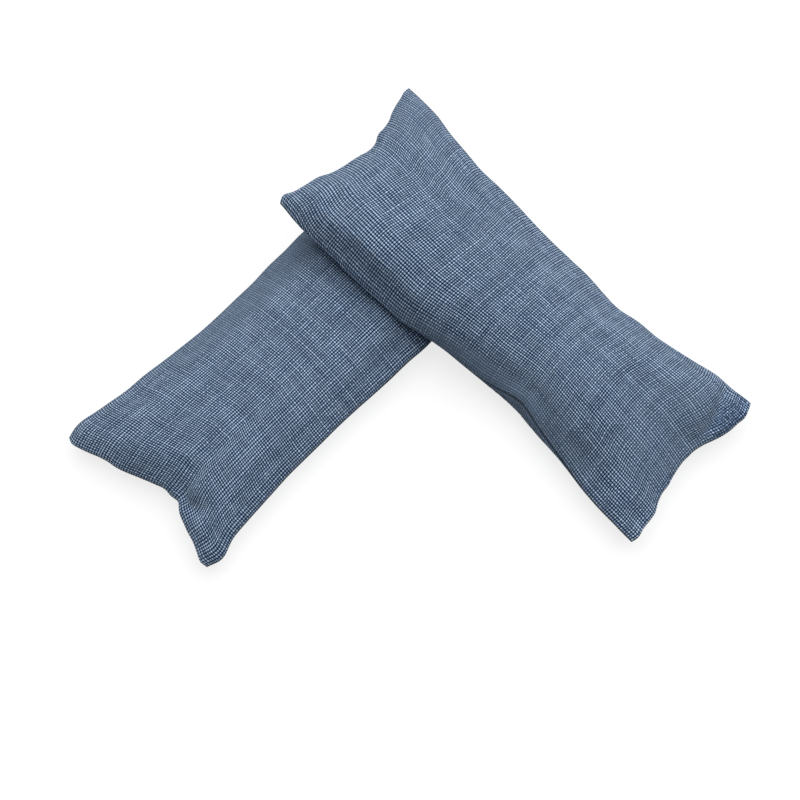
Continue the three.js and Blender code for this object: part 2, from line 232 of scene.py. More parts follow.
@dataclass(frozen=True)
class BagShape:
    """The outline and fullness of one bag."""

    crown: float
    belly: float
    seam_height: float
    corner_drop: float
    near_draw: float
    near_kink: float
    far_draw: float
    far_kink: float
    left_draw: float
    right_draw: float
    narrowest: float
    left_curves: tuple[float, float]
    right_curves: tuple[float, float]
    left_ear_bulge: float
    right_ear_bulge: float
    ear_reach: float
    ear_place: float
    corner_round: float = 0.0008
    far_left_back: float = 0.0
    left_notch: float = 0.0
    right_notch: float = 0.0
    notch_reach: float = 0.025
    left_trim: tuple[float, ...] = (0.0, 0.0)
    right_trim: tuple[float, ...] = (0.0, 0.0)
    near_trim: tuple[float, ...] = (0.0, 0.0)
    far_trim: tuple[float, ...] = (0.0, 0.0)
    swell_shares: tuple[tuple[float, ...], ...] = ((0.0, 0.0), (0.0, 0.0))

    def swelled(self, a: Grid, b: Grid) -> Grid:
        """Tells how much more or less than its crown the front is filled at a pair of shares.

        Args:
            a: Shares of the half length.
            b: Shares of the half width.

        Returns:
            What the fill adds there, as a share of the crown.
        """
        table = np.array(self.swell_shares)
        rows, columns = table.shape
        return cubic_sample(table, (a + 1) / 2 * (rows - 1), (b + 1) / 2 * (columns - 1))

    def plain(self) -> "BagShape":
        """Returns the same shape with no corrections of its outline."""
        none = (0.0, 0.0)
        return replace(self, left_trim=none, right_trim=none, near_trim=none, far_trim=none)

    @staticmethod
    def trimmed(place: Grid, trim: tuple[float, ...]) -> Grid:
        """Reads small corrections of the outline, evenly spaced along it, on a smooth curve."""
        line = np.array(trim)[:, None].repeat(2, axis=1)
        return cubic_sample(line, (place + 1) / 2 * (len(trim) - 1), np.zeros_like(place))

    @staticmethod
    def drawn_in(place: Grid, kink: float, curves: tuple[float, float]) -> Grid:
        """Gives a bump that is 1 at its kink and 0 at both ends of a side."""
        near = place < kink
        span = np.where(near, 1 + kink, 1 - kink)
        away = np.minimum(np.abs(place - kink) / span, 1.0)
        return 1 - away ** np.where(near, curves[0], curves[1])

    @staticmethod
    def hump(place: Grid, middle: float, reach: float) -> Grid:
        """Gives a hump along a side that fades out over its reach."""
        return np.exp(-(((place - middle) * BAG_LENGTH / 2 / reach) ** 2))

    def corner_cut(self, a: Grid, b: Grid) -> Grid:
        """Gives what rounding takes off a corner tip."""
        return self.corner_round * np.abs(a * b) ** 16

    def end_reach(self, a: Grid, b: Grid, inset: float) -> Grid:
        """Half the bag's length at a place on an end, less the inset of an inner layer."""
        near = a < 0
        draw = np.where(
            near,
            self.near_draw * self.drawn_in(b, self.near_kink, (1.25, 1.25)),
            self.far_draw * self.drawn_in(b, self.far_kink, (1.25, 1.25)),
        )
        back = np.where((a > 0) & (b > 0), self.far_left_back * b, 0.0)
        trim = np.where(near, self.trimmed(b, self.near_trim), self.trimmed(b, self.far_trim))
        return BAG_LENGTH / 2 - draw - back + trim - self.corner_cut(a, b) - inset

    def side_reach(self, a: Grid, b: Grid, inset: float) -> Grid:
        """Half the bag's width at a place on a side, less the inset of an inner layer."""
        right = b < 0
        drawn = np.where(
            right,
            self.right_draw * self.drawn_in(a, self.narrowest, self.right_curves),
            self.left_draw * self.drawn_in(a, self.narrowest, self.left_curves),
        )
        bulge = np.where(right, self.right_ear_bulge, self.left_ear_bulge)
        notch = np.where(right, self.right_notch, self.left_notch)
        ear = bulge * self.hump(a, self.ear_place, self.ear_reach)
        dip = notch * self.hump(a, self.narrowest, self.notch_reach)
        trim = np.where(right, self.trimmed(a, self.right_trim), self.trimmed(a, self.left_trim))
        return BAG_WIDTH / 2 - drawn + ear - dip + trim - self.corner_cut(a, b) - inset

    def plan_point(self, a: Grid, b: Grid, inset: float) -> tuple[Grid, Grid]:
        """Gives the place in the bag's plan of a pair of shares from -1 to 1."""
        return a * self.end_reach(a, b, inset), b * self.side_reach(a, b, inset)

    def plan_shares(self, x: Grid, y: Grid, inset: float) -> tuple[Grid, Grid]:
        """Finds the shares at a place in the plan, by going round a few times."""
        a, b = np.zeros_like(x), np.zeros_like(y)
        for _ in range(8):
            a = np.clip(x / self.end_reach(a, b, inset), -1, 1)
            b = np.clip(y / self.side_reach(a, b, inset), -1, 1)
        return a, b


def fullness(a: Grid, b: Grid, length_power: float, width_power: float, shoulder: float) -> Grid:
    """Tells how full a bag is at a pair of shares.

    Args:
        a: Shares of the half length.
        b: Shares of the half width.
        length_power: How far the crown runs before it falls to an end.
        width_power: The same across the bag.
        shoulder: How round the crown's shoulders are.

    Returns:
        1 at the crown and 0 along the seam.
    """
    along = np.maximum(1 - np.abs(a) ** length_power, 0)
    across = np.maximum(1 - np.abs(b) ** width_power, 0)
    return (along * across) ** shoulder


def cover_fullness(a: Grid, b: Grid) -> Grid:
    """Fullness of the linen cover."""
    return fullness(a, b, 4.5, 2.3, PROFILE_POWER)


@dataclass
class Bag:
    """One bag: its shape, where it lies, and how its seam and underside run."""

    name: str
    shape: BagShape
    middle: tuple[float, float]
    turn: float
    seed: int
    creases: Sequence[Crease] = ()
    worn: Sequence[tuple[tuple[float, float], tuple[float, float], float]] = ()
    # Patches of painted shade: a darker, bluer tint with speckle, where the cloth turns away from the light.
    fresh: Sequence[tuple[tuple[float, float], tuple[float, float], float]] = ()

    @property
    def body(self) -> str:
        """Returns the name of the body that the bag's pieces ride on."""
        return f"{self.name}_bag"

    def node(self, part: str) -> str:
        """Returns the name of one of the bag's solids."""
        return f"{self.name}_{part}"

    def rise(self, x: Grid, y: Grid) -> Grid:
        """Gives how far the bag is lifted at a place in its plan."""
        return np.zeros_like(x)

    def support(self, x: Grid, y: Grid, free: Grid, inset: float) -> Grid:
        """Gives the height of an underside that rests on something.

        Args:
            x: Places along the bag.
            y: Places across the bag.
            free: The height that it would have in the air.
            inset: How far the layer lies inside the bag's surface.

        Returns:
            The height with what it rests on.
        """
        return np.maximum(free, inset)

    def seam_level(self, x: Grid, y: Grid) -> Grid:
        """Height of the seam's plane over the floor at a place in the plan."""
        a, b = self.shape.plan_shares(x, y, 0.0)
        drop = self.shape.corner_drop * np.abs(a * b) ** 6
        return self.shape.seam_height - drop + self.rise(x, y)

    def front_level(self, a: Grid, b: Grid, inset: float, lift: float) -> Grid:
        """Height of a layer's upper face, its rim lifted off the seam's plane."""
        x, y = self.shape.plan_point(a, b, inset)
        crown = self.shape.crown * (1 + self.shape.swelled(a, b)) - inset - lift
        return self.seam_level(x, y) + lift + crown * cover_fullness(a, b)

    def back_level(self, a: Grid, b: Grid, inset: float, drop: float) -> Grid:
        """Height of a layer's lower face, its rim dropped below the seam's plane."""
        x, y = self.shape.plan_point(a, b, inset)
        edge = self.seam_level(x, y) - drop
        free = edge - (self.shape.belly - inset - drop) * cover_fullness(a, b)
        return np.minimum(self.support(x, y, free, inset), edge)

    def surface(self, face: Face, a: Grid, b: Grid, inset: float = 0.0, lift: float = 0.0) -> Grid:
        """Gives points of one face of the cover, in the bag's own plan.

        Args:
            face: Which face.
            a: Shares of the half length.
            b: Shares of the half width.
            inset: How far inside the surface.
            lift: How far the rim lies off the seam's plane.

        Returns:
            A point for each pair of shares.
        """
        x, y = self.shape.plan_point(a, b, inset)
        level = self.front_level if face is Face.FRONT else self.back_level
        return np.stack([x, y, level(a, b, inset, lift)], axis=-1)

    def freedom(self, face: Face, points: Grid) -> Grid:
        """Tells how free the cloth is to move at each point, from 0 to 1."""
        if face is Face.FRONT:
            return np.ones(points.shape[:-1])
        return smooth_step(points[..., 2], 0.0004, 0.004)

    def wear_and_painted_shade(self, a: Grid, b: Grid) -> Grid:
        """Tells how matted the linen is, which shows its yarns less, and how much painted shade darkens and blues it.

        Args:
            a: Shares of the half length.
            b: Shares of the half width.

        Returns:
            Both, from 0 to 1, as a pair for each place.
        """
        both = []
        # The first channel is the matting of worn cloth; the second is the painted shade.
        for patches, start in ((self.worn, 0.35), (self.fresh, 0.7)):
            total = np.zeros_like(a)
            for place, reach, amount in patches:
                away = np.hypot((a - place[0]) / reach[0], (b - place[1]) / reach[1])
                total = np.maximum(total, amount * (1 - smooth_step(away, start, 1.0)))
            both.append(total)
        return np.stack(both, axis=-1)

    def seam_point(self, a: Grid, b: Grid, inset: float) -> Grid:
        """Gives a point of the seam's plane, an inset inside the bag's outline."""
        x, y = self.shape.plan_point(a, b, inset)
        return np.stack([x, y, self.seam_level(x, y)], axis=-1)

    def placed(self, points: Grid) -> Grid:
        """Turns and moves points from the bag's own plan to the pair's frame."""
        cos, sin = math.cos(self.turn), math.sin(self.turn)
        x = self.middle[0] + cos * points[..., 0] - sin * points[..., 1]
        y = self.middle[1] + sin * points[..., 0] + cos * points[..., 1]
        return np.stack([x, y, np.maximum(points[..., 2], 0.00002)], axis=-1)


@dataclass
class LeaningBag(Bag):
    """The upper bag, which slopes up from the floor over the lower one."""

    lower: Bag | None = None
    offset: tuple[float, float] = (0.0, 0.0)
    raised_end: float = 0.021
    bend_start: float = 0.112
    bend_end: float = 0.024
    side_tilt: float = 0.0026
    contact_gap: float = 0.0005
    contact_blend: float = 0.003
    span_radius: float = 0.040
    slide: float = 0.19
    slide_reach: float = 0.6
    slide_rise: tuple[float, float] = (0.004, 0.027)
    slide_fall: tuple[float, float] = (0.018, 0.066)
    tuck: float = 0.16
    tuck_rise: tuple[float, float] = (-0.080, -0.066)
    tuck_fall: tuple[float, float] = (-0.022, 0.012)
    droop: float = 0.0040
    droop_from: float = 0.0275
    droop_rise: tuple[float, float] = (-0.084, -0.062)
    droop_fall: tuple[float, float] = (-0.045, 0.020)

    def rise(self, x: Grid, y: Grid) -> Grid:
        """Gives how far the bag is lifted at a place in its plan."""
        from_raised = x + BAG_LENGTH / 2
        climb = 1 - smooth_step(from_raised, self.bend_end, self.bend_start)
        hanging = smooth_step(x, *self.droop_rise) * (1 - smooth_step(x, *self.droop_fall))
        droop = self.droop * hanging * smooth_step(-y, self.droop_from, BAG_WIDTH / 2)
        return climb * (self.raised_end - self.side_tilt * y / (BAG_WIDTH / 2)) - droop

    def lower_top(self, x: Grid, y: Grid) -> Grid:
        """Height of the lower bag's crown under a place in this bag's plan."""
        lower = self.lower
        along, across = y + self.offset[1], -(x + self.offset[0])
        a, b = lower.shape.plan_shares(along, across, 0.0)
        fall = 0.5 * (np.hypot(across, self.span_radius) - self.span_radius)
        span = lower.front_level(a, np.zeros_like(b), 0.0, SEAM_GAP / 2) - fall
        edge_x, edge_y = lower.shape.plan_point(a, b, 0.0)
        past = np.hypot(along - edge_x, across - edge_y)
        return np.maximum(span, lower.front_level(a, b, 0.0, SEAM_GAP / 2) - 1.5 * past)

    def support(self, x: Grid, y: Grid, free: Grid, inset: float) -> Grid:
        """Gives the height of the underside, which rests on the lower bag and on the floor."""
        resting = self.lower_top(x, y) + self.contact_gap + inset
        both = (free + resting + np.hypot(free - resting, self.contact_blend)) / 2
        over = np.where(x + BAG_LENGTH / 2 > self.bend_start, free, both)
        return np.maximum(over, inset)

    def freedom(self, face: Face, points: Grid) -> Grid:
        """Tells how free the cloth is to move, which it isn't where it rests on something."""
        free = super().freedom(face, points)
        if face is Face.FRONT:
            return free
        gap = points[..., 2] - self.lower_top(points[..., 0], points[..., 1])
        near = points[..., 0] + BAG_LENGTH / 2 > self.bend_start
        return free * np.where(near, 1.0, smooth_step(gap, 0.0015, 0.005))

    def seam_slide(self, a: Grid) -> Grid:
        """Tells how far the near side's seam has slid round, up onto the front or under the bag.

        Args:
            a: Shares of the half length.

        Returns:
            The slide, which is above zero where the bag comes down and below zero over the lower bag.
        """
        x = a * BAG_LENGTH / 2
        up = self.slide * smooth_step(x, *self.slide_rise) * (1 - smooth_step(x, *self.slide_fall))
        under = self.tuck * smooth_step(x, *self.tuck_rise) * (1 - smooth_step(x, *self.tuck_fall))
        return up - under

    def surface(self, face: Face, a: Grid, b: Grid, inset: float = 0.0, lift: float = 0.0) -> Grid:
        """Gives points of one face, both faces turned round the near side with its seam."""
        around = face.value * np.abs(1 + b) ** PROFILE_POWER
        around = around + self.seam_slide(a) * (1 - smooth_step(np.abs(around), 0.0, self.slide_reach))
        slid = np.abs(around) ** (1 / PROFILE_POWER) - 1
        x, y = self.shape.plan_point(a, slid, inset)
        over = self.front_level(a, slid, inset, lift * face.value)
        under = self.back_level(a, slid, inset, -lift * face.value)
        return np.stack([x, y, np.where(around > 0, over, under)], axis=-1)

    def seam_point(self, a: Grid, b: Grid, inset: float) -> Grid:
        """Gives a point inside the seam, moved with it where it has slid."""
        one = -np.ones_like(b)
        moved = self.surface(Face.FRONT, a, one) - super().seam_point(a, one, 0.0)
        share = (b < -0.999)[..., None] * np.array([1.0, 1.0, 1.0])
        return super().seam_point(a, b, inset) + moved * share


@dataclass(frozen=True)
class ClothRun:
    """A short cloth simulation that blows a bag's cover up inside its seam."""

    frames: int = 18
    scale: float = 10.0
    pressure: float = 4.0
    slack: float = 0.012
    cap: float = 0.0015
    calming: int = 8
    steps: tuple[int, int] = (112, 46)

    def start(self, bag: Bag, face: Face) -> tuple[Grid, Grid, Grid]:
        """Gives the shares and points of one face before the run."""
        a = spaced_shares(self.steps[0])
        b = spaced_shares(self.steps[1])
        a, b = np.meshgrid(a, b, indexing="ij")
        return a, b, bag.surface(face, a, b)

    def moves(self, bag: Bag) -> dict[Face, Grid]:
        """Runs the simulation for one bag.

        Args:
            bag: The bag whose cover is blown up.

        Returns:
            How far each point of each face moved, in metres.
        """
        starts = {face: self.start(bag, face)[2] for face in Face}
        rows, columns = self.steps[0] + 1, self.steps[1] + 1
        front_number = np.arange(rows * columns).reshape(rows, columns)
        back_number = front_number.copy()
        inner = (slice(1, -1), slice(1, -1))
        count = (rows - 2) * (columns - 2)
        back_number[inner] = rows * columns + np.arange(count).reshape(rows - 2, columns - 2)
        points = np.concatenate([
            starts[Face.FRONT].reshape(-1, 3), starts[Face.BACK][inner].reshape(-1, 3)
        ])
        quads = []
        for number, flip in ((front_number, False), (back_number, True)):
            corners = [number[:-1, :-1], number[1:, :-1], number[1:, 1:], number[:-1, 1:]]
            if flip:
                corners.reverse()
            quads.append(np.stack(corners, axis=-1).reshape(-1, 4))
        mesh = bpy.data.meshes.new("cloth_run")
        mesh.from_pydata((points * self.scale).tolist(), [], np.concatenate(quads).tolist())
        cloth = bpy.data.objects.new("cloth_run", mesh)
        bpy.context.scene.collection.objects.link(cloth)
        self.dress(cloth, front_number)
        scene = bpy.context.scene
        for number in range(1, self.frames + 1):
            scene.frame_set(number)
        moved = np.zeros(len(points) * 3)
        blown = cloth.evaluated_get(bpy.context.evaluated_depsgraph_get())
        blown.data.vertices.foreach_get("co", moved)
        step = moved.reshape(-1, 3) / self.scale - points
        scene.frame_set(1)
        bpy.data.objects.remove(cloth)
        bpy.data.meshes.remove(mesh)
        length = np.linalg.norm(step, axis=-1, keepdims=True)
        step = step * self.cap / np.sqrt(self.cap**2 + length**2)
        LOG.info("%s: cloth moved up to %.2f mm", bag.name, float(length.max()) * 1000)
        found = {Face.FRONT: step[front_number], Face.BACK: step[back_number]}
        return {
            face: self.calmed(found[face]) * bag.freedom(face, starts[face])[..., None] for face in Face
        }

    def calmed(self, moves: Grid) -> Grid:
        """Evens out what is too small for cloth that is packed full of granules."""
        for _ in range(self.calming):
            for axis in range(2):
                line = np.moveaxis(moves, axis, 0).copy()
                line[1:-1] = (line[:-2] + 2 * line[1:-1] + line[2:]) / 4
                moves = np.moveaxis(line, 0, axis)
        return moves

    def dress(self, cloth: bpy.types.Object, numbers: Grid) -> None:
        """Gives the object its Cloth modifier, held along its seam."""
        seam = cloth.vertex_groups.new(name="seam")
        rim = np.unique(np.concatenate([numbers[0], numbers[-1], numbers[:, 0], numbers[:, -1]]))
        seam.add(rim.tolist(), 1.0, "REPLACE")
        modifier = cloth.modifiers.new("Cloth", "CLOTH")
        settings = modifier.settings
        settings.quality = 6
        settings.mass = 0.25
        settings.tension_stiffness = 18
        settings.compression_stiffness = 18
        settings.shear_stiffness = 6
        settings.bending_stiffness = 0.8
        settings.air_damping = 2
        settings.use_pressure = True
        settings.uniform_pressure_force = self.pressure
        settings.vertex_group_mass = "seam"
        settings.shrink_min = -self.slack
        settings.effector_weights.gravity = 0
        modifier.collision_settings.use_collision = False
        modifier.collision_settings.use_self_collision = False
        modifier.point_cache.frame_start = 1
        modifier.point_cache.frame_end = self.frames


def spaced_shares(steps: int) -> Grid:
    """Gives shares from -1 to 1, somewhat closer together near both ends."""
    even = np.linspace(-1.0, 1.0, steps + 1)
    return (even + np.sin(np.pi / 2 * even)) / 2


@dataclass
class NodeBoard:
    """A material's node tree, with short ways to add to it."""

    material: bpy.types.Material

    @classmethod
    def fresh(cls, name: str) -> "NodeBoard":
        """Makes a material with a Principled surface and returns its board."""
        material = bpy.data.materials.new(name)
        material.use_nodes = True
        return cls(material)

    @property
    def surface(self) -> bpy.types.ShaderNode:
        """Returns the Principled shader."""
        return self.material.node_tree.nodes["Principled BSDF"]

    def add(self, kind: str, **values: object) -> bpy.types.Node:
        """Adds a node and sets its properties and inputs.

        Args:
            kind: The node's type, without its prefix.
            **values: Properties by name, or inputs by name with underscores for spaces.

        Returns:
            The node.
        """
        node = self.material.node_tree.nodes.new(f"ShaderNode{kind}")
        for key, value in values.items():
            if hasattr(node, key):
                setattr(node, key, value)
            else:
                self.put(node.inputs[key.replace("_", " ")], value)
        return node

    def put(self, socket: bpy.types.NodeSocket, value: object) -> None:
        """Links a socket or sets its value."""
        if isinstance(value, bpy.types.NodeSocket):
            self.material.node_tree.links.new(value, socket)
        else:
            socket.default_value = value

    def math(self, operation: str, *values: object, clamp: bool = False) -> bpy.types.NodeSocket:
        """Adds a Math node over sockets and numbers and returns its output."""
        node = self.add("Math", operation=operation, use_clamp=clamp)
        for socket, value in zip(node.inputs, values):
            self.put(socket, value)
        return node.outputs[0]

    def combine(self, x: object, y: object, z: object = 0.0) -> bpy.types.NodeSocket:
        """Joins three numbers into a vector."""
        return self.add("CombineXYZ", X=x, Y=y, Z=z).outputs[0]

    def noise(self, place: bpy.types.NodeSocket, scale: float, detail: float = 2.0) -> bpy.types.NodeSocket:
        """Adds soft noise and returns its value, about 0.5 on average."""
        node = self.add("TexNoise", Vector=place, Scale=scale, Detail=detail)
        return node.outputs[0]

    def spread(self, value: object, low: float, high: float, to_low: float, to_high: float) -> bpy.types.NodeSocket:
        """Stretches a value from one range to another, within its limits."""
        node = self.add("MapRange")
        for socket, item in zip(node.inputs, (value, low, high, to_low, to_high)):
            self.put(socket, item)
        return node.outputs[0]

    def ramp(self, value: object, stops: Sequence[tuple[float, tuple[float, float, float]]]) -> bpy.types.NodeSocket:
        """Adds a colour ramp with these stops and returns its colour."""
        node = self.add("ValToRGB", Fac=value)
        elements = node.color_ramp.elements
        while len(elements) < len(stops):
            elements.new(0.5)
        for element, (place, colour) in zip(elements, stops):
            element.position = place
            element.color = (*colour, 1.0)
        return node.outputs[0]

    def scaled(self, colour: object, amount: object) -> bpy.types.NodeSocket:
        """Multiplies a colour by a number."""
        node = self.add("VectorMath", operation="SCALE")
        self.put(node.inputs[0], colour)
        self.put(node.inputs["Scale"], amount)
        return node.outputs[0]

    def bump(self, height: object, distance: float, under: object = None) -> bpy.types.NodeSocket:
        """Adds a bump of this height and returns the normal."""
        node = self.add("Bump", Height=height, Distance=distance)
        if under is not None:
            self.put(node.inputs["Normal"], under)
        return node.outputs[0]


@dataclass(frozen=True)
class LinenFinish:
    """Blue linen-look plain weave: floats of uneven yarn over gaps, with painted shade in the gaps and on the yarns'
    sides and a painted highlight on the floats' tops.
    """

    name: str = "blue_linen_weave"
    # Painted shade: the gaps between yarns, darkened as if in their own shadow.
    gap: tuple[float, float, float] = (0.001, 0.003, 0.014)
    # Painted shade on a yarn's sides, where it dips under the other set.
    shade: tuple[float, float, float] = (0.013, 0.040, 0.112)
    yarn: tuple[float, float, float] = (0.190, 0.326, 0.563)
    # Painted highlight on the tops of the floats.
    light: tuple[float, float, float] = (0.690, 0.850, 1.000)
    matted: tuple[float, float, float] = (0.168, 0.240, 0.350)
    # The tint of the painted shade: darker and bluer.
    fresh: tuple[float, float, float] = (0.66, 0.73, 0.83)
    speckle: float = 0.75
    crimp: float = 0.75
    warp_lead: tuple[float, float] = (-0.18, 0.24)
    # Painted light: the floats of one set of yarns a little lighter than the other's, as if lit from one side.
    checker: float = 0.04
    roughness: float = 0.88
    shine: float = 0.2
    sheen: float = 0.12

    def build(self) -> bpy.types.Material:
        """Makes the material, which follows the piece's own map of yarns."""
        board = NodeBoard.fresh(self.name)
        split = board.add("SeparateXYZ", Vector=board.add("UVMap", uv_map=CLOTH_MAP).outputs[0])
        across, along = split.outputs[0], split.outputs[1]
        warp = board.math("SINE", board.math("MULTIPLY", across, math.pi))
        weft = board.math("SINE", board.math("MULTIPLY", along, math.pi))
        warp_sign, weft_sign = board.math("SIGN", warp), board.math("SIGN", weft)
        warp_yarn = board.math("FLOOR", across)
        weft_yarn = board.math("FLOOR", along)
        warp_slub = self.slub(board, warp_yarn, along, 3.7)
        weft_slub = self.slub(board, weft_yarn, across, 8.3)
        flat = board.combine(
            board.math("MULTIPLY", across, BAG_WIDTH / YARNS_ACROSS * 1000),
            board.math("MULTIPLY", along, BAG_LENGTH / YARNS_ALONG * 1000),
        )
        lead = board.spread(board.noise(flat, 0.15, 2.0), 0.3, 0.7, *self.warp_lead)
        trail = board.math("MULTIPLY", lead, -1.0)
        warp_wave = board.math("MULTIPLY", warp_sign, weft)
        weft_wave = board.math("MULTIPLY", board.math("MULTIPLY", weft_sign, warp), -1.0)
        warp_height = self.yarn_height(board, warp, warp_wave, lead, warp_slub)
        weft_height = self.yarn_height(board, weft, weft_wave, trail, weft_slub)
        height = board.math("MAXIMUM", warp_height, weft_height)
        warp_on_top = board.math("GREATER_THAN", warp_height, weft_height)
        tone = board.add("Mix", data_type="FLOAT")
        board.put(tone.inputs[0], warp_on_top)
        board.put(tone.inputs[2], weft_slub)
        board.put(tone.inputs[3], warp_slub)
        fibre = self.fibre(board, across, along, warp_on_top)
        # The yarns' height picks the colour: painted shade in the gaps and on the yarns' sides, the yarn's own blue
        # in between, and a painted highlight on the tops.
        base = board.ramp(
            board.spread(height, 0.35, 1.80, 0.0, 1.0),
            [(0.16, self.gap), (0.46, self.shade), (0.68, self.yarn), (0.92, self.light)],
        )
        mottle = board.spread(board.noise(flat, 0.15, 3.0), 0.3, 0.7, 0.9, 1.1)
        level = board.math("MULTIPLY", board.spread(tone.outputs[0], 0.0, 1.0, 0.80, 1.20), mottle)
        level = board.math("MULTIPLY", level, board.spread(fibre, 0.2, 0.8, 0.88, 1.12))
        # Painted light: warp floats lighter and weft floats darker by the same share.
        level = board.math("MULTIPLY", level, board.spread(warp_on_top, 0.0, 1.0, 1 + self.checker, 1 - self.checker))
        wear_and_painted_shade = board.add("SeparateXYZ", Vector=board.add("UVMap", uv_map=WEAR_AND_SHADE_MAP).outputs[0])
        # The second channel of this map is where the painted shade lies.
        matted, fresh = wear_and_painted_shade.outputs[0], wear_and_painted_shade.outputs[1]
        mixed = board.add("Mix", data_type="RGBA")
        board.put(mixed.inputs[0], matted)
        board.put(mixed.inputs[6], base)
        board.put(mixed.inputs[7], (*self.matted, 1.0))
        level = board.spread(matted, 0.0, 1.0, level, board.math("ADD", board.math("MULTIPLY", level, 0.3), 0.7))
        # Speckle that breaks up the weave under the painted shade.
        speckle = board.spread(board.noise(flat, 1.4, 1.0), 0.35, 0.65, -self.speckle, self.speckle)
        level = board.math("MULTIPLY", level, board.math("ADD", 1.0, board.math("MULTIPLY", speckle, fresh)))
        # Painted shade: the colour darkened and blued where the map's second channel is up.
        bluer = board.add("Mix", data_type="RGBA", blend_type="MULTIPLY")
        board.put(bluer.inputs[0], fresh)
        board.put(bluer.inputs[6], mixed.outputs[2])
        board.put(bluer.inputs[7], (*self.fresh, 1.0))
        board.put(board.surface.inputs["Base Color"], board.scaled(bluer.outputs[2], level))
        rough = board.spread(fibre, 0.0, 1.0, self.roughness - 0.08, self.roughness + 0.08)
        board.put(board.surface.inputs["Roughness"], rough)
        board.put(board.surface.inputs["Sheen Weight"], self.sheen)
        board.put(board.surface.inputs["Sheen Roughness"], 0.5)
        board.put(board.surface.inputs["Specular IOR Level"], self.shine)
        relief = board.math("ADD", height, board.math("MULTIPLY", fibre, 0.25))
        board.put(board.surface.inputs["Normal"], board.bump(relief, 0.00022))
        return board.material

    def yarn_height(
        self, board: NodeBoard, profile: object, wave: object, lead: object, slub: object
    ) -> bpy.types.NodeSocket:
        """Gives the height of one set of yarns, which go over and under the other.

        Args:
            board: The material's board.
            profile: A sine that is 1 or -1 along the middle of each yarn.
            wave: The yarn's way up and down.
            lead: How much less than the other set it bends, in shares of a yarn's thickness.
            slub: How thick the yarn is here.

        Returns:
            The height, in shares of a yarn's thickness.
        """
        round_top = board.math("POWER", board.math("ABSOLUTE", profile), 0.7)
        thick = board.spread(slub, 0.0, 1.0, 0.76, 1.20)
        lifted = board.math("MULTIPLY", wave, board.math("SUBTRACT", self.crimp, lead))
        full = board.math("MULTIPLY", thick, board.math("ADD", 1.0, lead))
        return board.math("ADD", board.math("MULTIPLY", round_top, full), lifted)

    def slub(self, board: NodeBoard, yarn: object, way: object, shift: float) -> bpy.types.NodeSocket:
        """Gives each yarn its own tone, with thicker and thinner stretches along it."""
        own = board.add("TexWhiteNoise", noise_dimensions="2D")
        board.put(own.inputs[0], board.combine(yarn, shift))
        place = board.combine(board.math("MULTIPLY", yarn, 2.7), board.math("MULTIPLY", way, 0.11), shift)
        stretch = board.spread(board.noise(place, 1.0, 1.5), 0.25, 0.75, 0.0, 1.0)
        short = board.combine(board.math("MULTIPLY", yarn, 3.9), board.math("MULTIPLY", way, 0.6), shift)
        nub = board.spread(board.noise(short, 1.0, 1.0), 0.25, 0.75, 0.0, 1.0)
        both = board.math("ADD", board.math("MULTIPLY", own.outputs[0], 0.35), board.math("MULTIPLY", stretch, 0.4))
        return board.math("ADD", both, board.math("MULTIPLY", nub, 0.25))

    def fibre(self, board: NodeBoard, across: object, along: object, warp_on_top: object) -> bpy.types.NodeSocket:
        """Gives the fine streaks of fibres, which run with the yarn on top."""
        values = []
        for first, second in ((2.2, 9.0), (9.0, 2.2)):
            place = board.combine(board.math("MULTIPLY", across, first), board.math("MULTIPLY", along, second))
            values.append(board.noise(place, 1.0, 2.0))
        mixed = board.add("Mix", data_type="FLOAT")
        board.put(mixed.inputs[0], warp_on_top)
        board.put(mixed.inputs[2], values[0])
        board.put(mixed.inputs[3], values[1])
        return mixed.outputs[0]


@dataclass(frozen=True)
class ThreadFinish:
    """Twisted sewing thread."""

    name: str = "twisted_sewing_thread"
    dark: tuple[float, float, float] = (0.030, 0.048, 0.085)
    bright: tuple[float, float, float] = (0.085, 0.125, 0.200)

    def build(self) -> bpy.types.Material:
        """Makes the material, its plies told apart by noise in space."""
        board = NodeBoard.fresh(self.name)
        place = board.add("TexCoord").outputs["Object"]
        ply = board.noise(place, 2600.0, 2.0)
        board.put(board.surface.inputs["Base Color"], board.ramp(ply, [(0.35, self.dark), (0.65, self.bright)]))
        board.put(board.surface.inputs["Roughness"], 0.7)
        board.put(board.surface.inputs["Sheen Weight"], 0.2)
        board.put(board.surface.inputs["Normal"], board.bump(ply, 0.00006))
        return board.material


@dataclass(frozen=True)
class LinerFinish:
    """White non-woven cloth: matted fibres pressed with small dimples."""

    name: str = "white_non_woven"
    low: tuple[float, float, float] = (0.60, 0.59, 0.55)
    high: tuple[float, float, float] = (0.80, 0.79, 0.76)

    def build(self) -> bpy.types.Material:
        """Makes the material from fibres and rows of dimples in space."""
        board = NodeBoard.fresh(self.name)
        place = board.add("TexCoord").outputs["Object"]
        fibre = board.noise(place, 1500.0, 4.0)
        cells = board.add("TexVoronoi", Vector=place, Scale=560.0, Randomness=0.35)
        dimple = board.spread(cells.outputs["Distance"], 0.1, 0.45, 0.0, 1.0)
        both = board.math("ADD", board.math("MULTIPLY", fibre, 0.6), board.math("MULTIPLY", dimple, 0.4))
        board.put(board.surface.inputs["Base Color"], board.ramp(both, [(0.3, self.low), (0.7, self.high)]))
        board.put(board.surface.inputs["Roughness"], board.spread(fibre, 0.3, 0.7, 0.75, 0.95))
        board.put(board.surface.inputs["Normal"], board.bump(both, 0.00012))
        return board.material


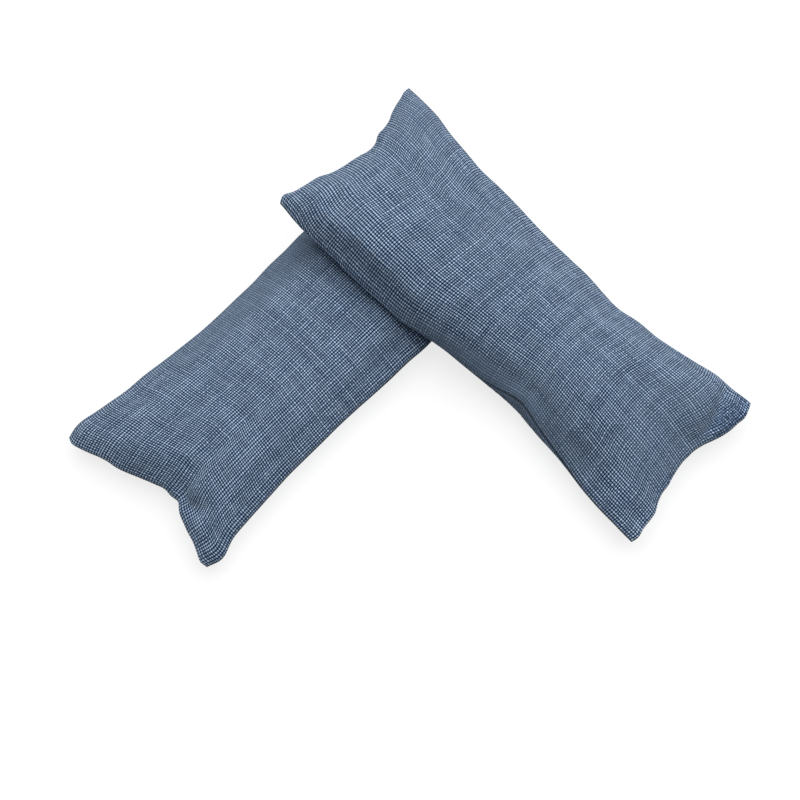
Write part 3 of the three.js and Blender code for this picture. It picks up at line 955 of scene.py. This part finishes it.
@dataclass(frozen=True)
class CharcoalFinish:
    """Broken charcoal granules: black, with a dull shine on their facets."""

    name: str = "charcoal_granules"
    dark: tuple[float, float, float] = (0.004, 0.004, 0.005)
    bright: tuple[float, float, float] = (0.030, 0.030, 0.032)

    def build(self) -> bpy.types.Material:
        """Makes the material, each granule with its own tone and shine."""
        board = NodeBoard.fresh(self.name)
        place = board.add("TexCoord").outputs["Object"]
        grain = board.add("TexVoronoi", Vector=place, Scale=520.0)
        tone = board.add("SeparateColor", Color=grain.outputs["Color"]).outputs[0]
        dust = board.noise(place, 2400.0, 3.0)
        mixed = board.math("ADD", board.math("MULTIPLY", tone, 0.7), board.math("MULTIPLY", dust, 0.3))
        board.put(board.surface.inputs["Base Color"], board.ramp(mixed, [(0.2, self.dark), (0.85, self.bright)]))
        board.put(board.surface.inputs["Roughness"], board.spread(tone, 0.0, 1.0, 0.38, 0.8))
        relief = board.math("ADD", grain.outputs["Distance"], board.math("MULTIPLY", dust, 0.4))
        board.put(board.surface.inputs["Normal"], board.bump(relief, 0.0006))
        return board.material


@dataclass(frozen=True)
class FloorFinish:
    """A white surface that keeps a faint soft shadow."""

    name: str = "white_floor"
    colour: float = 0.38
    lift: float = 0.78
    fade: tuple[float, float] = (0.25, 1.4)

    def build(self) -> bpy.types.Material:
        """Makes the material, lifted to white where it is looked at, all the more so far away."""
        board = NodeBoard.fresh(self.name)
        tree = board.material.node_tree
        tree.nodes.remove(board.surface)
        plain = board.add("BsdfDiffuse", Color=(self.colour, self.colour, self.colour, 1.0))
        lit = board.add("Emission", Color=(1.0, 1.0, 1.0, 1.0))
        rays = board.add("LightPath")
        seen = board.math("MAXIMUM", rays.outputs["Is Camera Ray"], rays.outputs["Is Glossy Ray"])
        place = board.add("TexCoord").outputs["Object"]
        away = board.add("VectorMath", operation="LENGTH")
        board.put(away.inputs[0], place)
        strength = board.spread(away.outputs["Value"], *self.fade, self.lift, 1.0)
        board.put(lit.inputs["Strength"], board.math("MULTIPLY", seen, strength))
        both = board.add("AddShader")
        board.put(both.inputs[0], plain.outputs[0])
        board.put(both.inputs[1], lit.outputs[0])
        board.put(tree.nodes["Material Output"].inputs["Surface"], both.outputs[0])
        return board.material


def grid_object(name: str, places: Grid, maps: dict[str, Grid], looks_up: bool) -> bpy.types.Object:
    """Makes a mesh object from a grid of places.

    Args:
        name: The object's name.
        places: Points in the pair's frame, rows by columns.
        maps: Texture maps by name, a pair of numbers for each point.
        looks_up: Whether the sheet's outside looks up.

    Returns:
        The object, smooth shaded, with its maps.
    """
    rows, columns = places.shape[:2]
    shape = bmesh.new()
    bmesh.ops.create_grid(shape, x_segments=rows - 1, y_segments=columns - 1, size=1.0)
    if not looks_up:
        bmesh.ops.reverse_faces(shape, faces=shape.faces)
    mesh = bpy.data.meshes.new(name)
    shape.to_mesh(mesh)
    shape.free()
    corners = np.zeros(len(mesh.vertices) * 3)
    mesh.vertices.foreach_get("co", corners)
    corners = corners.reshape(-1, 3)
    row = np.rint((corners[:, 0] + 1) / 2 * (rows - 1)).astype(int)
    column = np.rint((corners[:, 1] + 1) / 2 * (columns - 1)).astype(int)
    mesh.vertices.foreach_set("co", places[row, column].ravel())
    loops = np.zeros(len(mesh.loops), dtype=np.int32)
    mesh.loops.foreach_get("vertex_index", loops)
    for map_name, values in maps.items():
        layer = mesh.uv_layers.new(name=map_name)
        layer.data.foreach_set("uv", values[row, column][loops].ravel())
    mesh.shade_smooth()
    mesh.update()
    made = bpy.data.objects.new(name, mesh)
    bpy.context.scene.collection.objects.link(made)
    return made


def yarn_places(count: int, span: float, seed: int) -> Grid:
    """Gives the edges and middles of a row of yarns of uneven thickness.

    Args:
        count: How many yarns.
        span: The width that they fill, in metres.
        seed: Which row of yarns.

    Returns:
        Twice the count and one more places, from minus half the span to half of it.
    """
    width = np.random.RandomState(seed).uniform(0.82, 1.18, count)
    edges = np.concatenate([[0.0], np.cumsum(width)]) / width.sum() * span - span / 2
    return np.interp(np.arange(2 * count + 1) / 2, np.arange(count + 1), edges)


@dataclass
class CoverPanel:
    """One panel of a bag's cover, with the yarns' relief and its edges turned in."""

    bag: Bag
    face: Face
    moves: Grid
    finish: bpy.types.Material
    relief: float = 0.00011
    give: float = 0.6
    evening: float = 0.6
    lumps: tuple[float, float] = (0.0095, 0.00030)
    nubs: tuple[float, float] = (0.0042, 0.00010)
    turn_in: tuple[tuple[float, float], ...] = ((0.0003, 0.00012), (0.0012, 0.00012), (0.004, 0.0004))
    steps: tuple[int, int] = (160, 80)

    @property
    def name(self) -> str:
        """Returns the piece's name."""
        return f"{self.bag.name}_{self.face.word}_linen"

    def moved(self, a_index: Grid, b_index: Grid) -> Grid:
        """Reads the simulated moves at shares that are given as parts of their range."""
        rows, columns = self.moves.shape[:2]
        return cubic_sample(self.moves, a_index * (rows - 1), b_index * (columns - 1))

    def shaped(self, a_index: Grid, b_index: Grid) -> Grid:
        """Gives points of the blown-up cover at parts of the ranges of both shares."""
        a, b = self.share(a_index), self.share(b_index)
        points = self.bag.surface(self.face, a, b, lift=RIM_LIFT)
        return points + self.moved(a_index, b_index)

    @staticmethod
    def share(part: Grid) -> Grid:
        """Turns a part of the range, from 0 to 1, into a share from -1 to 1."""
        even = 2 * part - 1
        return (even + np.sin(np.pi / 2 * even)) / 2

    def cloth_lengths(self) -> tuple[Grid, Grid]:
        """Measures the cloth along and across the bag from its middle.

        Returns:
            The cloth's own coordinates at each point of an even grid of parts.
        """
        a_index, b_index = np.meshgrid(
            np.linspace(0, 1, self.steps[0] + 1), np.linspace(0, 1, self.steps[1] + 1), indexing="ij"
        )
        points = self.shaped(a_index, b_index) * np.array([1.0, 1.0, self.give])
        along, across = gap_steps(points, 0), gap_steps(points, 1)
        along -= along[self.steps[0] // 2][None, :]
        middle = across[:, self.steps[1] // 2]
        middle = middle + self.evening * (across[:, -1] / 2 - middle)
        across -= middle[:, None]
        for lengths, axis, half, index in (
            (along, 0, BAG_LENGTH / 2, a_index), (across, 1, BAG_WIDTH / 2, b_index)
        ):
            first = np.take(lengths, [0], axis=axis)
            last = np.take(lengths, [-1], axis=axis)
            share = np.abs(self.share(index)) ** 1.3
            missing = np.where(index < 0.5, -half - first, half - last)
            lengths += missing * share
        return along, across

    def parts_of_cloth(self, along: Grid, across: Grid) -> tuple[Grid, Grid]:
        """Finds where on the bag places of the cloth lie.

        Args:
            along: Places along the cloth, in metres from its middle.
            across: Places across it.

        Returns:
            The parts of both shares' ranges there.
        """
        length_at, width_at = self.cloth_lengths()
        a_index = along / BAG_LENGTH + 0.5
        b_index = across / BAG_WIDTH + 0.5
        for _ in range(30):
            rows, columns = a_index * self.steps[0], b_index * self.steps[1]
            a_off = along - cubic_sample(length_at, rows, columns)
            b_off = across - cubic_sample(width_at, rows, columns)
            a_index = np.clip(a_index + 0.8 * a_off / BAG_LENGTH, 0, 1)
            b_index = np.clip(b_index + 0.8 * b_off / BAG_WIDTH, 0, 1)
        a_index[0], a_index[-1] = 0, 1
        b_index[:, 0], b_index[:, -1] = 0, 1
        return a_index, b_index

    def outside(self) -> tuple[Grid, Grid, Grid]:
        """Makes the panel's outer face.

        Returns:
            Its points, with the shares of the half length and half width at each.
        """
        along, across = np.meshgrid(
            yarn_places(YARNS_ALONG, BAG_LENGTH, self.bag.seed),
            yarn_places(YARNS_ACROSS, BAG_WIDTH, self.bag.seed + 1),
            indexing="ij",
        )
        a_index, b_index = self.parts_of_cloth(along, across)
        points = self.shaped(a_index, b_index)
        normal = grid_normals(points, self.face.value)
        a, b = self.share(a_index), self.share(b_index)
        inside = np.minimum(1 - np.abs(a), (1 - np.abs(b)) * 0.5)
        soft = smooth_step(inside, 0.0, 0.05)
        lift = np.zeros(a.shape)
        for order, (spacing, height) in enumerate((self.lumps, self.nubs)):
            ripple = Ripple(self.bag.seed * 7 + order + 3 * self.face.value + 11, spacing, height)
            lift += ripple.over(along, across) * soft
        free = self.bag.freedom(self.face, points)
        if self.face is Face.FRONT:
            for crease in self.bag.creases:
                lift -= crease.press(points[..., 0], points[..., 1]) * soft
        thickness = np.random.RandomState(self.bag.seed + 5).uniform(0.7, 1.3, along.shape[0] + along.shape[1])
        row, column = np.indices(a.shape)
        crossing = np.where(row % 2 == 1, 0.5, -0.5) + np.where(column % 2 == 1, 0.5, -0.5)
        uneven = (thickness[row // 2] + thickness[-1 - column // 2]) / 2
        lift = lift * np.maximum(free, 0.1) + self.relief * crossing * uneven * np.maximum(free, 0.3)
        return points + normal * lift[..., None], a, b

    def build(self) -> bpy.types.Object:
        """Makes the panel and returns its object."""
        outer, a, b = self.outside()
        rows, columns = outer.shape[:2]
        depth = len(self.turn_in)
        row, column = np.meshgrid(
            np.arange(-depth, rows + depth), np.arange(-depth, columns + depth), indexing="ij"
        )
        near_row, near_column = np.clip(row, 0, rows - 1), np.clip(column, 0, columns - 1)
        level = np.maximum(np.abs(row - near_row), np.abs(column - near_column))
        places = outer[near_row, near_column]
        for order, (inset, lift) in enumerate(self.turn_in, start=1):
            ring = level == order
            ring_a, ring_b = a[near_row, near_column][ring], b[near_row, near_column][ring]
            places[ring] = self.bag.seam_point(ring_a, ring_b, inset)
            places[ring, 2] += self.face.value * lift
        yarn_column = near_column / 2 + np.sign(column - near_column) * level * 0.6
        yarn_row = near_row / 2 + np.sign(row - near_row) * level * 0.6
        cloth = np.stack([yarn_column, yarn_row], axis=-1)
        margin = 0.6 * depth + 0.4
        bake = np.stack([
            (yarn_column + margin) / (YARNS_ACROSS + 2 * margin),
            (yarn_row + margin) / (YARNS_ALONG + 2 * margin),
        ], axis=-1)
        wear_and_painted_shade = self.bag.wear_and_painted_shade(a, b)[near_row, near_column]
        maps = {BAKE_MAP: bake, CLOTH_MAP: cloth, WEAR_AND_SHADE_MAP: wear_and_painted_shade}
        panel = grid_object(self.name, self.bag.placed(places), maps, self.face is Face.FRONT)
        panel.data.materials.append(self.finish)
        return panel


def inner_level(bag: Bag, a: Grid, b: Grid, inset: float, face: Face, clear: float) -> Grid:
    """Height of a layer inside the cover, which is full at its own rim.

    Args:
        bag: The bag.
        a: Shares of the half length.
        b: Shares of the half width.
        inset: How far the layer's rim lies inside the bag's outline.
        face: Which face of the layer.
        clear: How far it stays from the cover's inner face.

    Returns:
        The height over the floor.
    """
    x, y = bag.shape.plan_point(a, b, inset)
    out_a, out_b = bag.shape.plan_shares(x, y, COVER_THICKNESS)
    seam = bag.seam_level(x, y)
    full = fullness(a, b, 8.0, 8.0, 0.45)
    flap_top = SEAM_GAP / 2 + COVER_THICKNESS
    if face is Face.FRONT:
        roof = bag.front_level(out_a, out_b, COVER_THICKNESS, flap_top) - clear
        return seam + np.maximum(roof - seam, 0) * full
    ground = bag.back_level(out_a, out_b, COVER_THICKNESS, flap_top) + clear
    return seam - np.maximum(seam - ground, 0) * full


@dataclass
class LinerSheet:
    """One sheet of the liner, quilted by the granules and flat at its sealed rim."""

    bag: Bag
    face: Face
    finish: bpy.types.Material
    steps: tuple[int, int] = (150, 60)
    dimple: float = 0.00025

    @property
    def name(self) -> str:
        """Returns the piece's name."""
        return f"{self.bag.name}_liner_{self.face.word}_non_woven"

    def build(self) -> bpy.types.Object:
        """Makes the sheet and returns its object."""
        a, b = np.meshgrid(spaced_shares(self.steps[0]), spaced_shares(self.steps[1]), indexing="ij")
        x, y = self.bag.shape.plan_point(a, b, LINER_INSET)
        side = self.face.value
        level = inner_level(self.bag, a, b, LINER_INSET, self.face, LINER_CLEARANCE + self.dimple)
        rim = side * (0.00025 + LINER_THICKNESS * (1 - cover_fullness(a, b)))
        crumple = Ripple(self.bag.seed + 31, 0.006, self.dimple).over(x, y)
        crumple += Ripple(self.bag.seed + 37, 0.0022, self.dimple * 0.5).over(x, y)
        soft = smooth_step(np.minimum(1 - np.abs(a), (1 - np.abs(b)) * 0.5), 0.0, 0.05)
        places = np.stack([x, y, level + rim + crumple * soft], axis=-1)
        sheet = grid_object(self.name, self.bag.placed(places), {}, self.face is Face.FRONT)
        solid = sheet.modifiers.new("Solidify", "SOLIDIFY")
        solid.thickness = 0.0003
        solid.offset = -1.0
        sheet.data.materials.append(self.finish)
        return sheet


@dataclass
class CharcoalFill:
    """The body of charcoal granules, lumpy all over."""

    bag: Bag
    finish: bpy.types.Material
    steps: tuple[int, int] = (180, 74)
    grain: float = 0.0005

    @property
    def name(self) -> str:
        """Returns the piece's name."""
        return f"{self.bag.name}_charcoal_grains"

    def build(self) -> bpy.types.Object:
        """Makes both faces, joins them along their rim and returns the object."""
        a, b = np.meshgrid(spaced_shares(self.steps[0]), spaced_shares(self.steps[1]), indexing="ij")
        x, y = self.bag.shape.plan_point(a, b, FILL_INSET)
        shape = bmesh.new()
        soft = smooth_step(np.minimum(1 - np.abs(a), (1 - np.abs(b)) * 0.5), 0.0, 0.03)
        for face in Face:
            clear = FILL_CLEARANCE + self.grain
            level = inner_level(self.bag, a, b, FILL_INSET, face, clear)
            grains = Ripple(self.bag.seed + 41 + face.value, 0.0019, self.grain).over(x, y)
            places = np.stack([x, y, level + grains * soft], axis=-1)
            half = grid_object("half", self.bag.placed(places), {}, face is Face.FRONT)
            shape.from_mesh(half.data)
            bpy.data.meshes.remove(half.data)
        bmesh.ops.remove_doubles(shape, verts=shape.verts, dist=0.00001)
        mesh = bpy.data.meshes.new(self.name)
        shape.to_mesh(mesh)
        shape.free()
        mesh.shade_smooth()
        made = bpy.data.objects.new(self.name, mesh)
        bpy.context.scene.collection.objects.link(made)
        made.data.materials.append(self.finish)
        return made


class SeamLine(Enum):
    """The four lines of stitches of a bag, by the solid that each one is."""

    LEFT = "left_seam_thread"
    RIGHT = "right_seam_thread"
    END = "end_seam_thread"
    CLOSING = "closing_thread"

    def shares(self, place: Grid) -> tuple[Grid, Grid]:
        """Gives the shares along the line for places from -1 to 1."""
        along = place * (1 - THREAD_END_GAP / (BAG_LENGTH / 2))
        across = place * (1 - THREAD_END_GAP / (BAG_WIDTH / 2))
        one = np.ones_like(place)
        return {
            SeamLine.LEFT: (along, one),
            SeamLine.RIGHT: (along, -one),
            SeamLine.END: (-one, across),
            SeamLine.CLOSING: (one, across),
        }[self]


@dataclass
class Stitches:
    """One line of stitches: a thread that winds between the two panels' turned-in edges."""

    bag: Bag
    line: SeamLine
    finish: bpy.types.Material
    radius: float = 0.00017
    swing: float = 0.00022
    pitch: float = 0.0024

    def build(self) -> bpy.types.Object:
        """Makes the thread and returns its object."""
        coarse = np.linspace(-1, 1, 200)
        a, b = self.line.shares(coarse)
        x, y = self.bag.shape.plan_point(a, b, THREAD_INSET)
        length = float(np.hypot(np.diff(x), np.diff(y)).sum())
        turns = round(length / self.pitch)
        place = np.linspace(-1, 1, turns * 8 + 1)
        points = self.bag.seam_point(*self.line.shares(place), THREAD_INSET)
        way = np.arange(len(place)) / 8 * 2 * np.pi
        sideways = 1 if self.line in (SeamLine.LEFT, SeamLine.RIGHT) else 0
        points[:, sideways] += self.swing * np.cos(way)
        points[:, 2] += self.swing * 0.4 * np.sin(way)
        points = self.bag.placed(points)
        curve = bpy.data.curves.new(self.line.value, "CURVE")
        curve.dimensions = "3D"
        curve.bevel_depth = self.radius
        curve.bevel_resolution = 1
        curve.use_fill_caps = True
        spline = curve.splines.new("POLY")
        spline.points.add(len(points) - 1)
        spline.points.foreach_set("co", np.column_stack([points, np.ones(len(points))]).ravel())
        path = bpy.data.objects.new("path", curve)
        bpy.context.scene.collection.objects.link(path)
        mesh = bpy.data.meshes.new_from_object(path)
        bpy.data.objects.remove(path)
        bpy.data.curves.remove(curve)
        mesh.shade_smooth()
        made = bpy.data.objects.new(f"{self.bag.name}_{self.line.value}_stitches", mesh)
        bpy.context.scene.collection.objects.link(made)
        made.data.materials.clear()
        made.data.materials.append(self.finish)
        return made


@dataclass
class Studio:
    """The floor, the lamps and the camera."""

    centre: tuple[float, float, float] = (-0.0045, -0.0230, 0.0)
    elevation: float = math.radians(68)
    distance: float = 0.600
    lens: float = 75.63
    ambient: float = 0.03

    def build(self) -> None:
        """Sets everything up."""
        self.floor()
        self.world()
        self.lamp("back_light", (0.12, 0.27, 0.87), 1.5, 12.0)
        self.camera()
        bpy.context.scene.view_settings.view_transform = "Standard"

    def floor(self) -> None:
        """Lays a white floor under the pair."""
        shape = bmesh.new()
        bmesh.ops.create_grid(shape, x_segments=1, y_segments=1, size=4.0)
        mesh = bpy.data.meshes.new("floor")
        shape.to_mesh(mesh)
        shape.free()
        floor = bpy.data.objects.new("floor", mesh)
        floor.data.materials.append(FloorFinish().build())
        bpy.context.scene.collection.objects.link(floor)

    def world(self) -> None:
        """Gives plain white light from all round, and a white background."""
        world = bpy.data.worlds.new("studio")
        world.use_nodes = True
        tree = world.node_tree
        lit = tree.nodes["Background"]
        lit.inputs["Color"].default_value = (1.0, 1.0, 1.0, 1.0)
        rays = tree.nodes.new("ShaderNodeLightPath")
        seen = tree.nodes.new("ShaderNodeMath")
        seen.operation = "MAXIMUM"
        tree.links.new(rays.outputs["Is Camera Ray"], seen.inputs[0])
        tree.links.new(rays.outputs["Is Glossy Ray"], seen.inputs[1])
        strength = tree.nodes.new("ShaderNodeMapRange")
        tree.links.new(seen.outputs[0], strength.inputs["Value"])
        strength.inputs["To Min"].default_value = self.ambient
        strength.inputs["To Max"].default_value = 1.0
        tree.links.new(strength.outputs[0], lit.inputs["Strength"])
        bpy.context.scene.world = world

    def lamp(self, name: str, place: tuple[float, float, float], size: float, power: float) -> None:
        """Hangs a square area lamp that looks at the pair.

        Args:
            name: The lamp's name.
            place: Where it hangs, in metres.
            size: The length of its sides.
            power: Its power in watts.
        """
        light = bpy.data.lights.new(name, "AREA")
        light.shape = "SQUARE"
        light.size = size
        light.energy = power
        lamp = bpy.data.objects.new(name, light)
        aim = Vector(self.centre) - Vector(place)
        lamp.matrix_world = Matrix.Translation(place) @ aim.to_track_quat("-Z", "Y").to_matrix().to_4x4()
        bpy.context.scene.collection.objects.link(lamp)

    def camera(self) -> None:
        """Puts the camera at the photograph's angle."""
        data = bpy.data.cameras.new("camera")
        data.lens = self.lens
        data.sensor_width = 36.0
        data.clip_start = 0.01
        camera = bpy.data.objects.new("camera", data)
        back = Vector((0.0, -math.cos(self.elevation), math.sin(self.elevation))) * self.distance
        place = Vector(self.centre) + back
        camera.matrix_world = Matrix.Translation(place) @ (-back).to_track_quat("-Z", "Y").to_matrix().to_4x4()
        bpy.context.scene.collection.objects.link(camera)
        bpy.context.scene.camera = camera


@dataclass
class BagDresser:
    """Builds all the pieces of one bag and logs each one's name and vertex count."""

    bag: Bag
    finishes: dict[str, bpy.types.Material]
    run: ClothRun = field(default_factory=ClothRun)

    def build(self) -> list[bpy.types.Object]:
        """Builds the bag's nine pieces.

        Returns:
            The pieces, each on its body.
        """
        moves = self.run.moves(self.bag)
        fill = CharcoalFill(self.bag, self.finishes["charcoal"]).build()
        self.hand_over(fill, "charcoal_fill")
        pieces = [fill]
        for face in Face:
            liner = LinerSheet(self.bag, face, self.finishes["liner"]).build()
            self.hand_over(liner, f"liner_{face.word}")
            fill.name
            panel = CoverPanel(self.bag, face, moves[face], self.finishes["linen"]).build()
            self.hand_over(panel, f"{face.word}_panel")
            liner.name
            pieces += [liner, panel]
        for line in SeamLine:
            thread = Stitches(self.bag, line, self.finishes["thread"]).build()
            self.hand_over(thread, line.value)
            pieces.append(thread)
        return pieces

    def hand_over(self, piece: bpy.types.Object, part: str) -> None:
        """Puts a piece in its solid's place, on its bag's body.

        Args:
            piece: The finished piece.
            part: The solid's name within its bag.
        """
        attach(piece, self.bag.body)
        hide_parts(self.bag.node(part))
        LOG.info("%s: %d vertices", piece.name, len(piece.data.vertices))


def mm(*values: float) -> tuple[float, ...]:
    """Turns millimetres into metres."""
    return tuple(value / 1000 for value in values)


LOWER_SHAPE = BagShape(
    crown=0.0115, belly=0.013, seam_height=0.009, corner_drop=0.0025,
    near_draw=0.0092, near_kink=-0.3, far_draw=0.007, far_kink=0.1,
    left_draw=0.0024, right_draw=0.004, narrowest=0.0,
    left_curves=(1.5, 3.0), right_curves=(5.0, 4.0),
    left_ear_bulge=0.0012, right_ear_bulge=0.0028, ear_reach=0.006, ear_place=-0.93,
    left_trim=mm(0.8, 0.8, 0.3, -0.7, -0.7, -1.3, -1.7, -2, -1.8, -1.4, -1.1, -0.3, -0.1, 0.5, 0.3, 0.1, 0.1, 0, 0, 0, 0),
    right_trim=mm(-1.1, 0.1, 0.9, 0.9, 0.6, 0.1, 0, -0.1, -0.3, -0.2, 0.1, 0.3, 0.2, 0.6, 0.2, 0.1, 0.1, 0, 0, 0, 0),
    near_trim=mm(-0.6, 0.8, 0.7, 0.7, 1.1, 1.1, 0.8, -0.9, -1, -1.7, -1.2, -0.5, 0.2, 0.9, 1.3, 1.1, 1.3, 1.8, 2.1, 2, 0.8),
    far_trim=mm(-0.4, -0.5, -0.7, -0.4, -0.2, -0.1, -0.1, 0, 0, 0, 0, 0, 0, 0, 0, 0, 0, 0, 0, 0, 0),
    swell_shares=(
        (0.05, 0.04, 0.09, -0.01, -0.1),
        (0.01, 0.04, -0.13, -0.15, -0.16),
        (-0.01, -0.08, -0.22, -0.27, -0.19),
        (-0.01, -0.02, -0.15, -0.23, -0.16),
        (0.02, 0.04, 0, -0.02, -0.03),
        (0, 0, 0, 0, 0),
        (0, 0, 0, 0, 0),
        (0, 0, 0, 0, 0),
        (0, 0, 0, 0, 0),
    ),
)

UPPER_SHAPE = BagShape(
    crown=0.0125, belly=0.013, seam_height=0.010, corner_drop=0.0015,
    near_draw=0.0072, near_kink=0.03, far_draw=0.0074, far_kink=0.12,
    left_draw=0.0058, right_draw=0.0026, narrowest=0.26,
    left_curves=(6.0, 1.3), right_curves=(4.0, 1.8),
    left_ear_bulge=0.0, right_ear_bulge=0.0012, ear_reach=0.009, ear_place=-0.88,
    far_left_back=0.0034, left_notch=0.0016, right_notch=0.0016,
    left_trim=mm(0.4, 1.1, 1.2, -0.2, -1, -1.7, -1.1, -0.8, -0.7, -0.2, 0.7, 1.5, 1.1, 0.5, 0.7, -0.4, -0.6, -0.4, 0.1, -0.6, -0.1),
    right_trim=mm(0, 0.5, 1.8, 2.9, 3.6, 3.7, 3.1, 2.5, 0.4, -1.5, -2.6, -3.4, -3.8, -3.8, -2.8, -2.5, -2, -0.9, -0.3, -0.2, 0.1),
    near_trim=mm(-0.4, 1, 0, 0, 0.2, 0.3, -0.6, -0.9, -0.8, -0.6, -0.7, -1.5, -1.5, -0.2, -0.4, -0.2, 0.8, 1.3, 1.6, 2.1, 1.9),
    far_trim=mm(-0.3, 0.6, 0.5, 1, 1.2, 0.2, -0.2, 0.1, -0.2, -0.3, -0.2, 0.6, 0.9, 1.5, 2.4, 3, 3.1, 2.7, 2.4, 0.9, -0.4),
    swell_shares=(
        (0.01, -0.11, -0.08, -0.08, -0.02, 0.03, 0.05),
        (0.01, -0.03, -0.07, -0.17, -0.21, -0.1, -0.06),
        (0.14, 0.17, 0.02, -0.24, -0.34, -0.32, -0.19),
        (0.29, 0.17, 0.02, -0.2, -0.32, -0.31, -0.23),
        (0.29, 0.17, 0.02, -0.13, -0.22, -0.22, -0.19),
        (0.31, 0.28, 0.15, 0.02, -0.06, -0.1, -0.17),
        (0.39, 0.36, 0.29, 0.18, 0.1, 0.02, -0.11),
        (0.15, 0.38, 0.43, 0.31, 0.19, 0.27, 0),
        (-0.02, 0.24, 0.38, 0.22, 0.16, 0.35, 0.14),
        (-0.27, -0.17, 0.05, -0.01, 0.03, 0.3, 0.27),
        (-0.26, -0.29, -0.18, -0.13, -0.16, -0.02, 0.2),
    ),
)


def make_bags() -> tuple[Bag, LeaningBag]:
    """Places both bags where their solids lie.

    Returns:
        The lower bag and the upper one.
    """
    pair_turn = math.radians(-44.2)
    upper_own = (BAG_LENGTH / 2 - 0.0386, 0.0)
    lower_own = (0.0, 0.0293 - BAG_LENGTH / 2)
    lower = Bag("lower", LOWER_SHAPE, (0.0, 0.0), pair_turn + math.pi / 2, seed=21, creases=(
        Crease((-0.0790, -0.0080), (-0.0720, -0.0225), 0.0016, 0.0036),
        Crease((-0.0780, -0.0110), (-0.0640, -0.0080), 0.0008, 0.0034),
        Crease((-0.080, 0.018), (-0.074, -0.020), 0.0006, 0.0040),
    ), worn=(
        ((0.1, 1.0), (0.95, 0.55), 0.62),
    ))
    upper = LeaningBag("upper", UPPER_SHAPE, (0.0, 0.0), pair_turn, seed=55, creases=(
        Crease((0.0715, 0.0345), (0.0790, 0.0105), 0.0018, 0.0024, shelf=-0.0009),
        Crease((0.0795, 0.0040), (0.0650, 0.0030), 0.0007, 0.0035),
        Crease((0.0180, -0.0250), (0.0330, -0.0210), 0.0009, 0.0050),
    ), worn=(
        ((0.35, -0.95), (0.45, 0.40), 0.32),
        ((0.08, -1.0), (0.60, 0.20), 0.80),
        ((0.88, 0.1), (0.30, 0.85), 0.24),
        ((-0.95, 0.8), (0.35, 0.6), 0.30),
    ), fresh=(
        # Painted shade on the far corner's folded ear and on the end strip beside it.
        ((1.02, 0.78), (0.13, 0.50), 0.9),
        ((1.0, -0.36), (0.03, 0.22), 0.7),
    ))
    upper.lower = lower
    upper.offset = (upper_own[0] - lower_own[0], upper_own[1] - lower_own[1])
    cos, sin = math.cos(pair_turn), math.sin(pair_turn)
    rim = np.concatenate([np.linspace(-1, 1, 400), np.ones(400)])
    other = np.concatenate([np.ones(400), np.linspace(1, -1, 400)])
    a, b = np.concatenate([rim, -rim]), np.concatenate([other, -other])
    x, y = UPPER_SHAPE.plain().plan_point(a, b, 0.0)
    x, y = x + upper_own[0], y + upper_own[1]
    outline = np.stack([cos * x - sin * y, sin * x + cos * y])
    low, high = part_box("upper_back_panel")
    shift = [(low[axis] + high[axis] - outline[axis].min() - outline[axis].max()) / 2 for axis in range(2)]
    for bag, own in ((lower, lower_own), (upper, upper_own)):
        bag.middle = (
            cos * own[0] - sin * own[1] + shift[0],
            sin * own[0] + cos * own[1] + shift[1],
        )
    return lower, upper


def main() -> None:
    """Builds the studio and both bags."""
    logging.basicConfig(level=logging.INFO, format="%(message)s")
    Studio().build()
    finishes = {
        "linen": LinenFinish().build(),
        "thread": ThreadFinish().build(),
        "liner": LinerFinish().build(),
        "charcoal": CharcoalFinish().build(),
    }
    for bag in make_bags():
        LOG.info("%s bag: middle %.2f, %.2f mm", bag.name, bag.middle[0] * 1000, bag.middle[1] * 1000)
        BagDresser(bag, finishes).build()


if __name__ == "__main__":
    main()
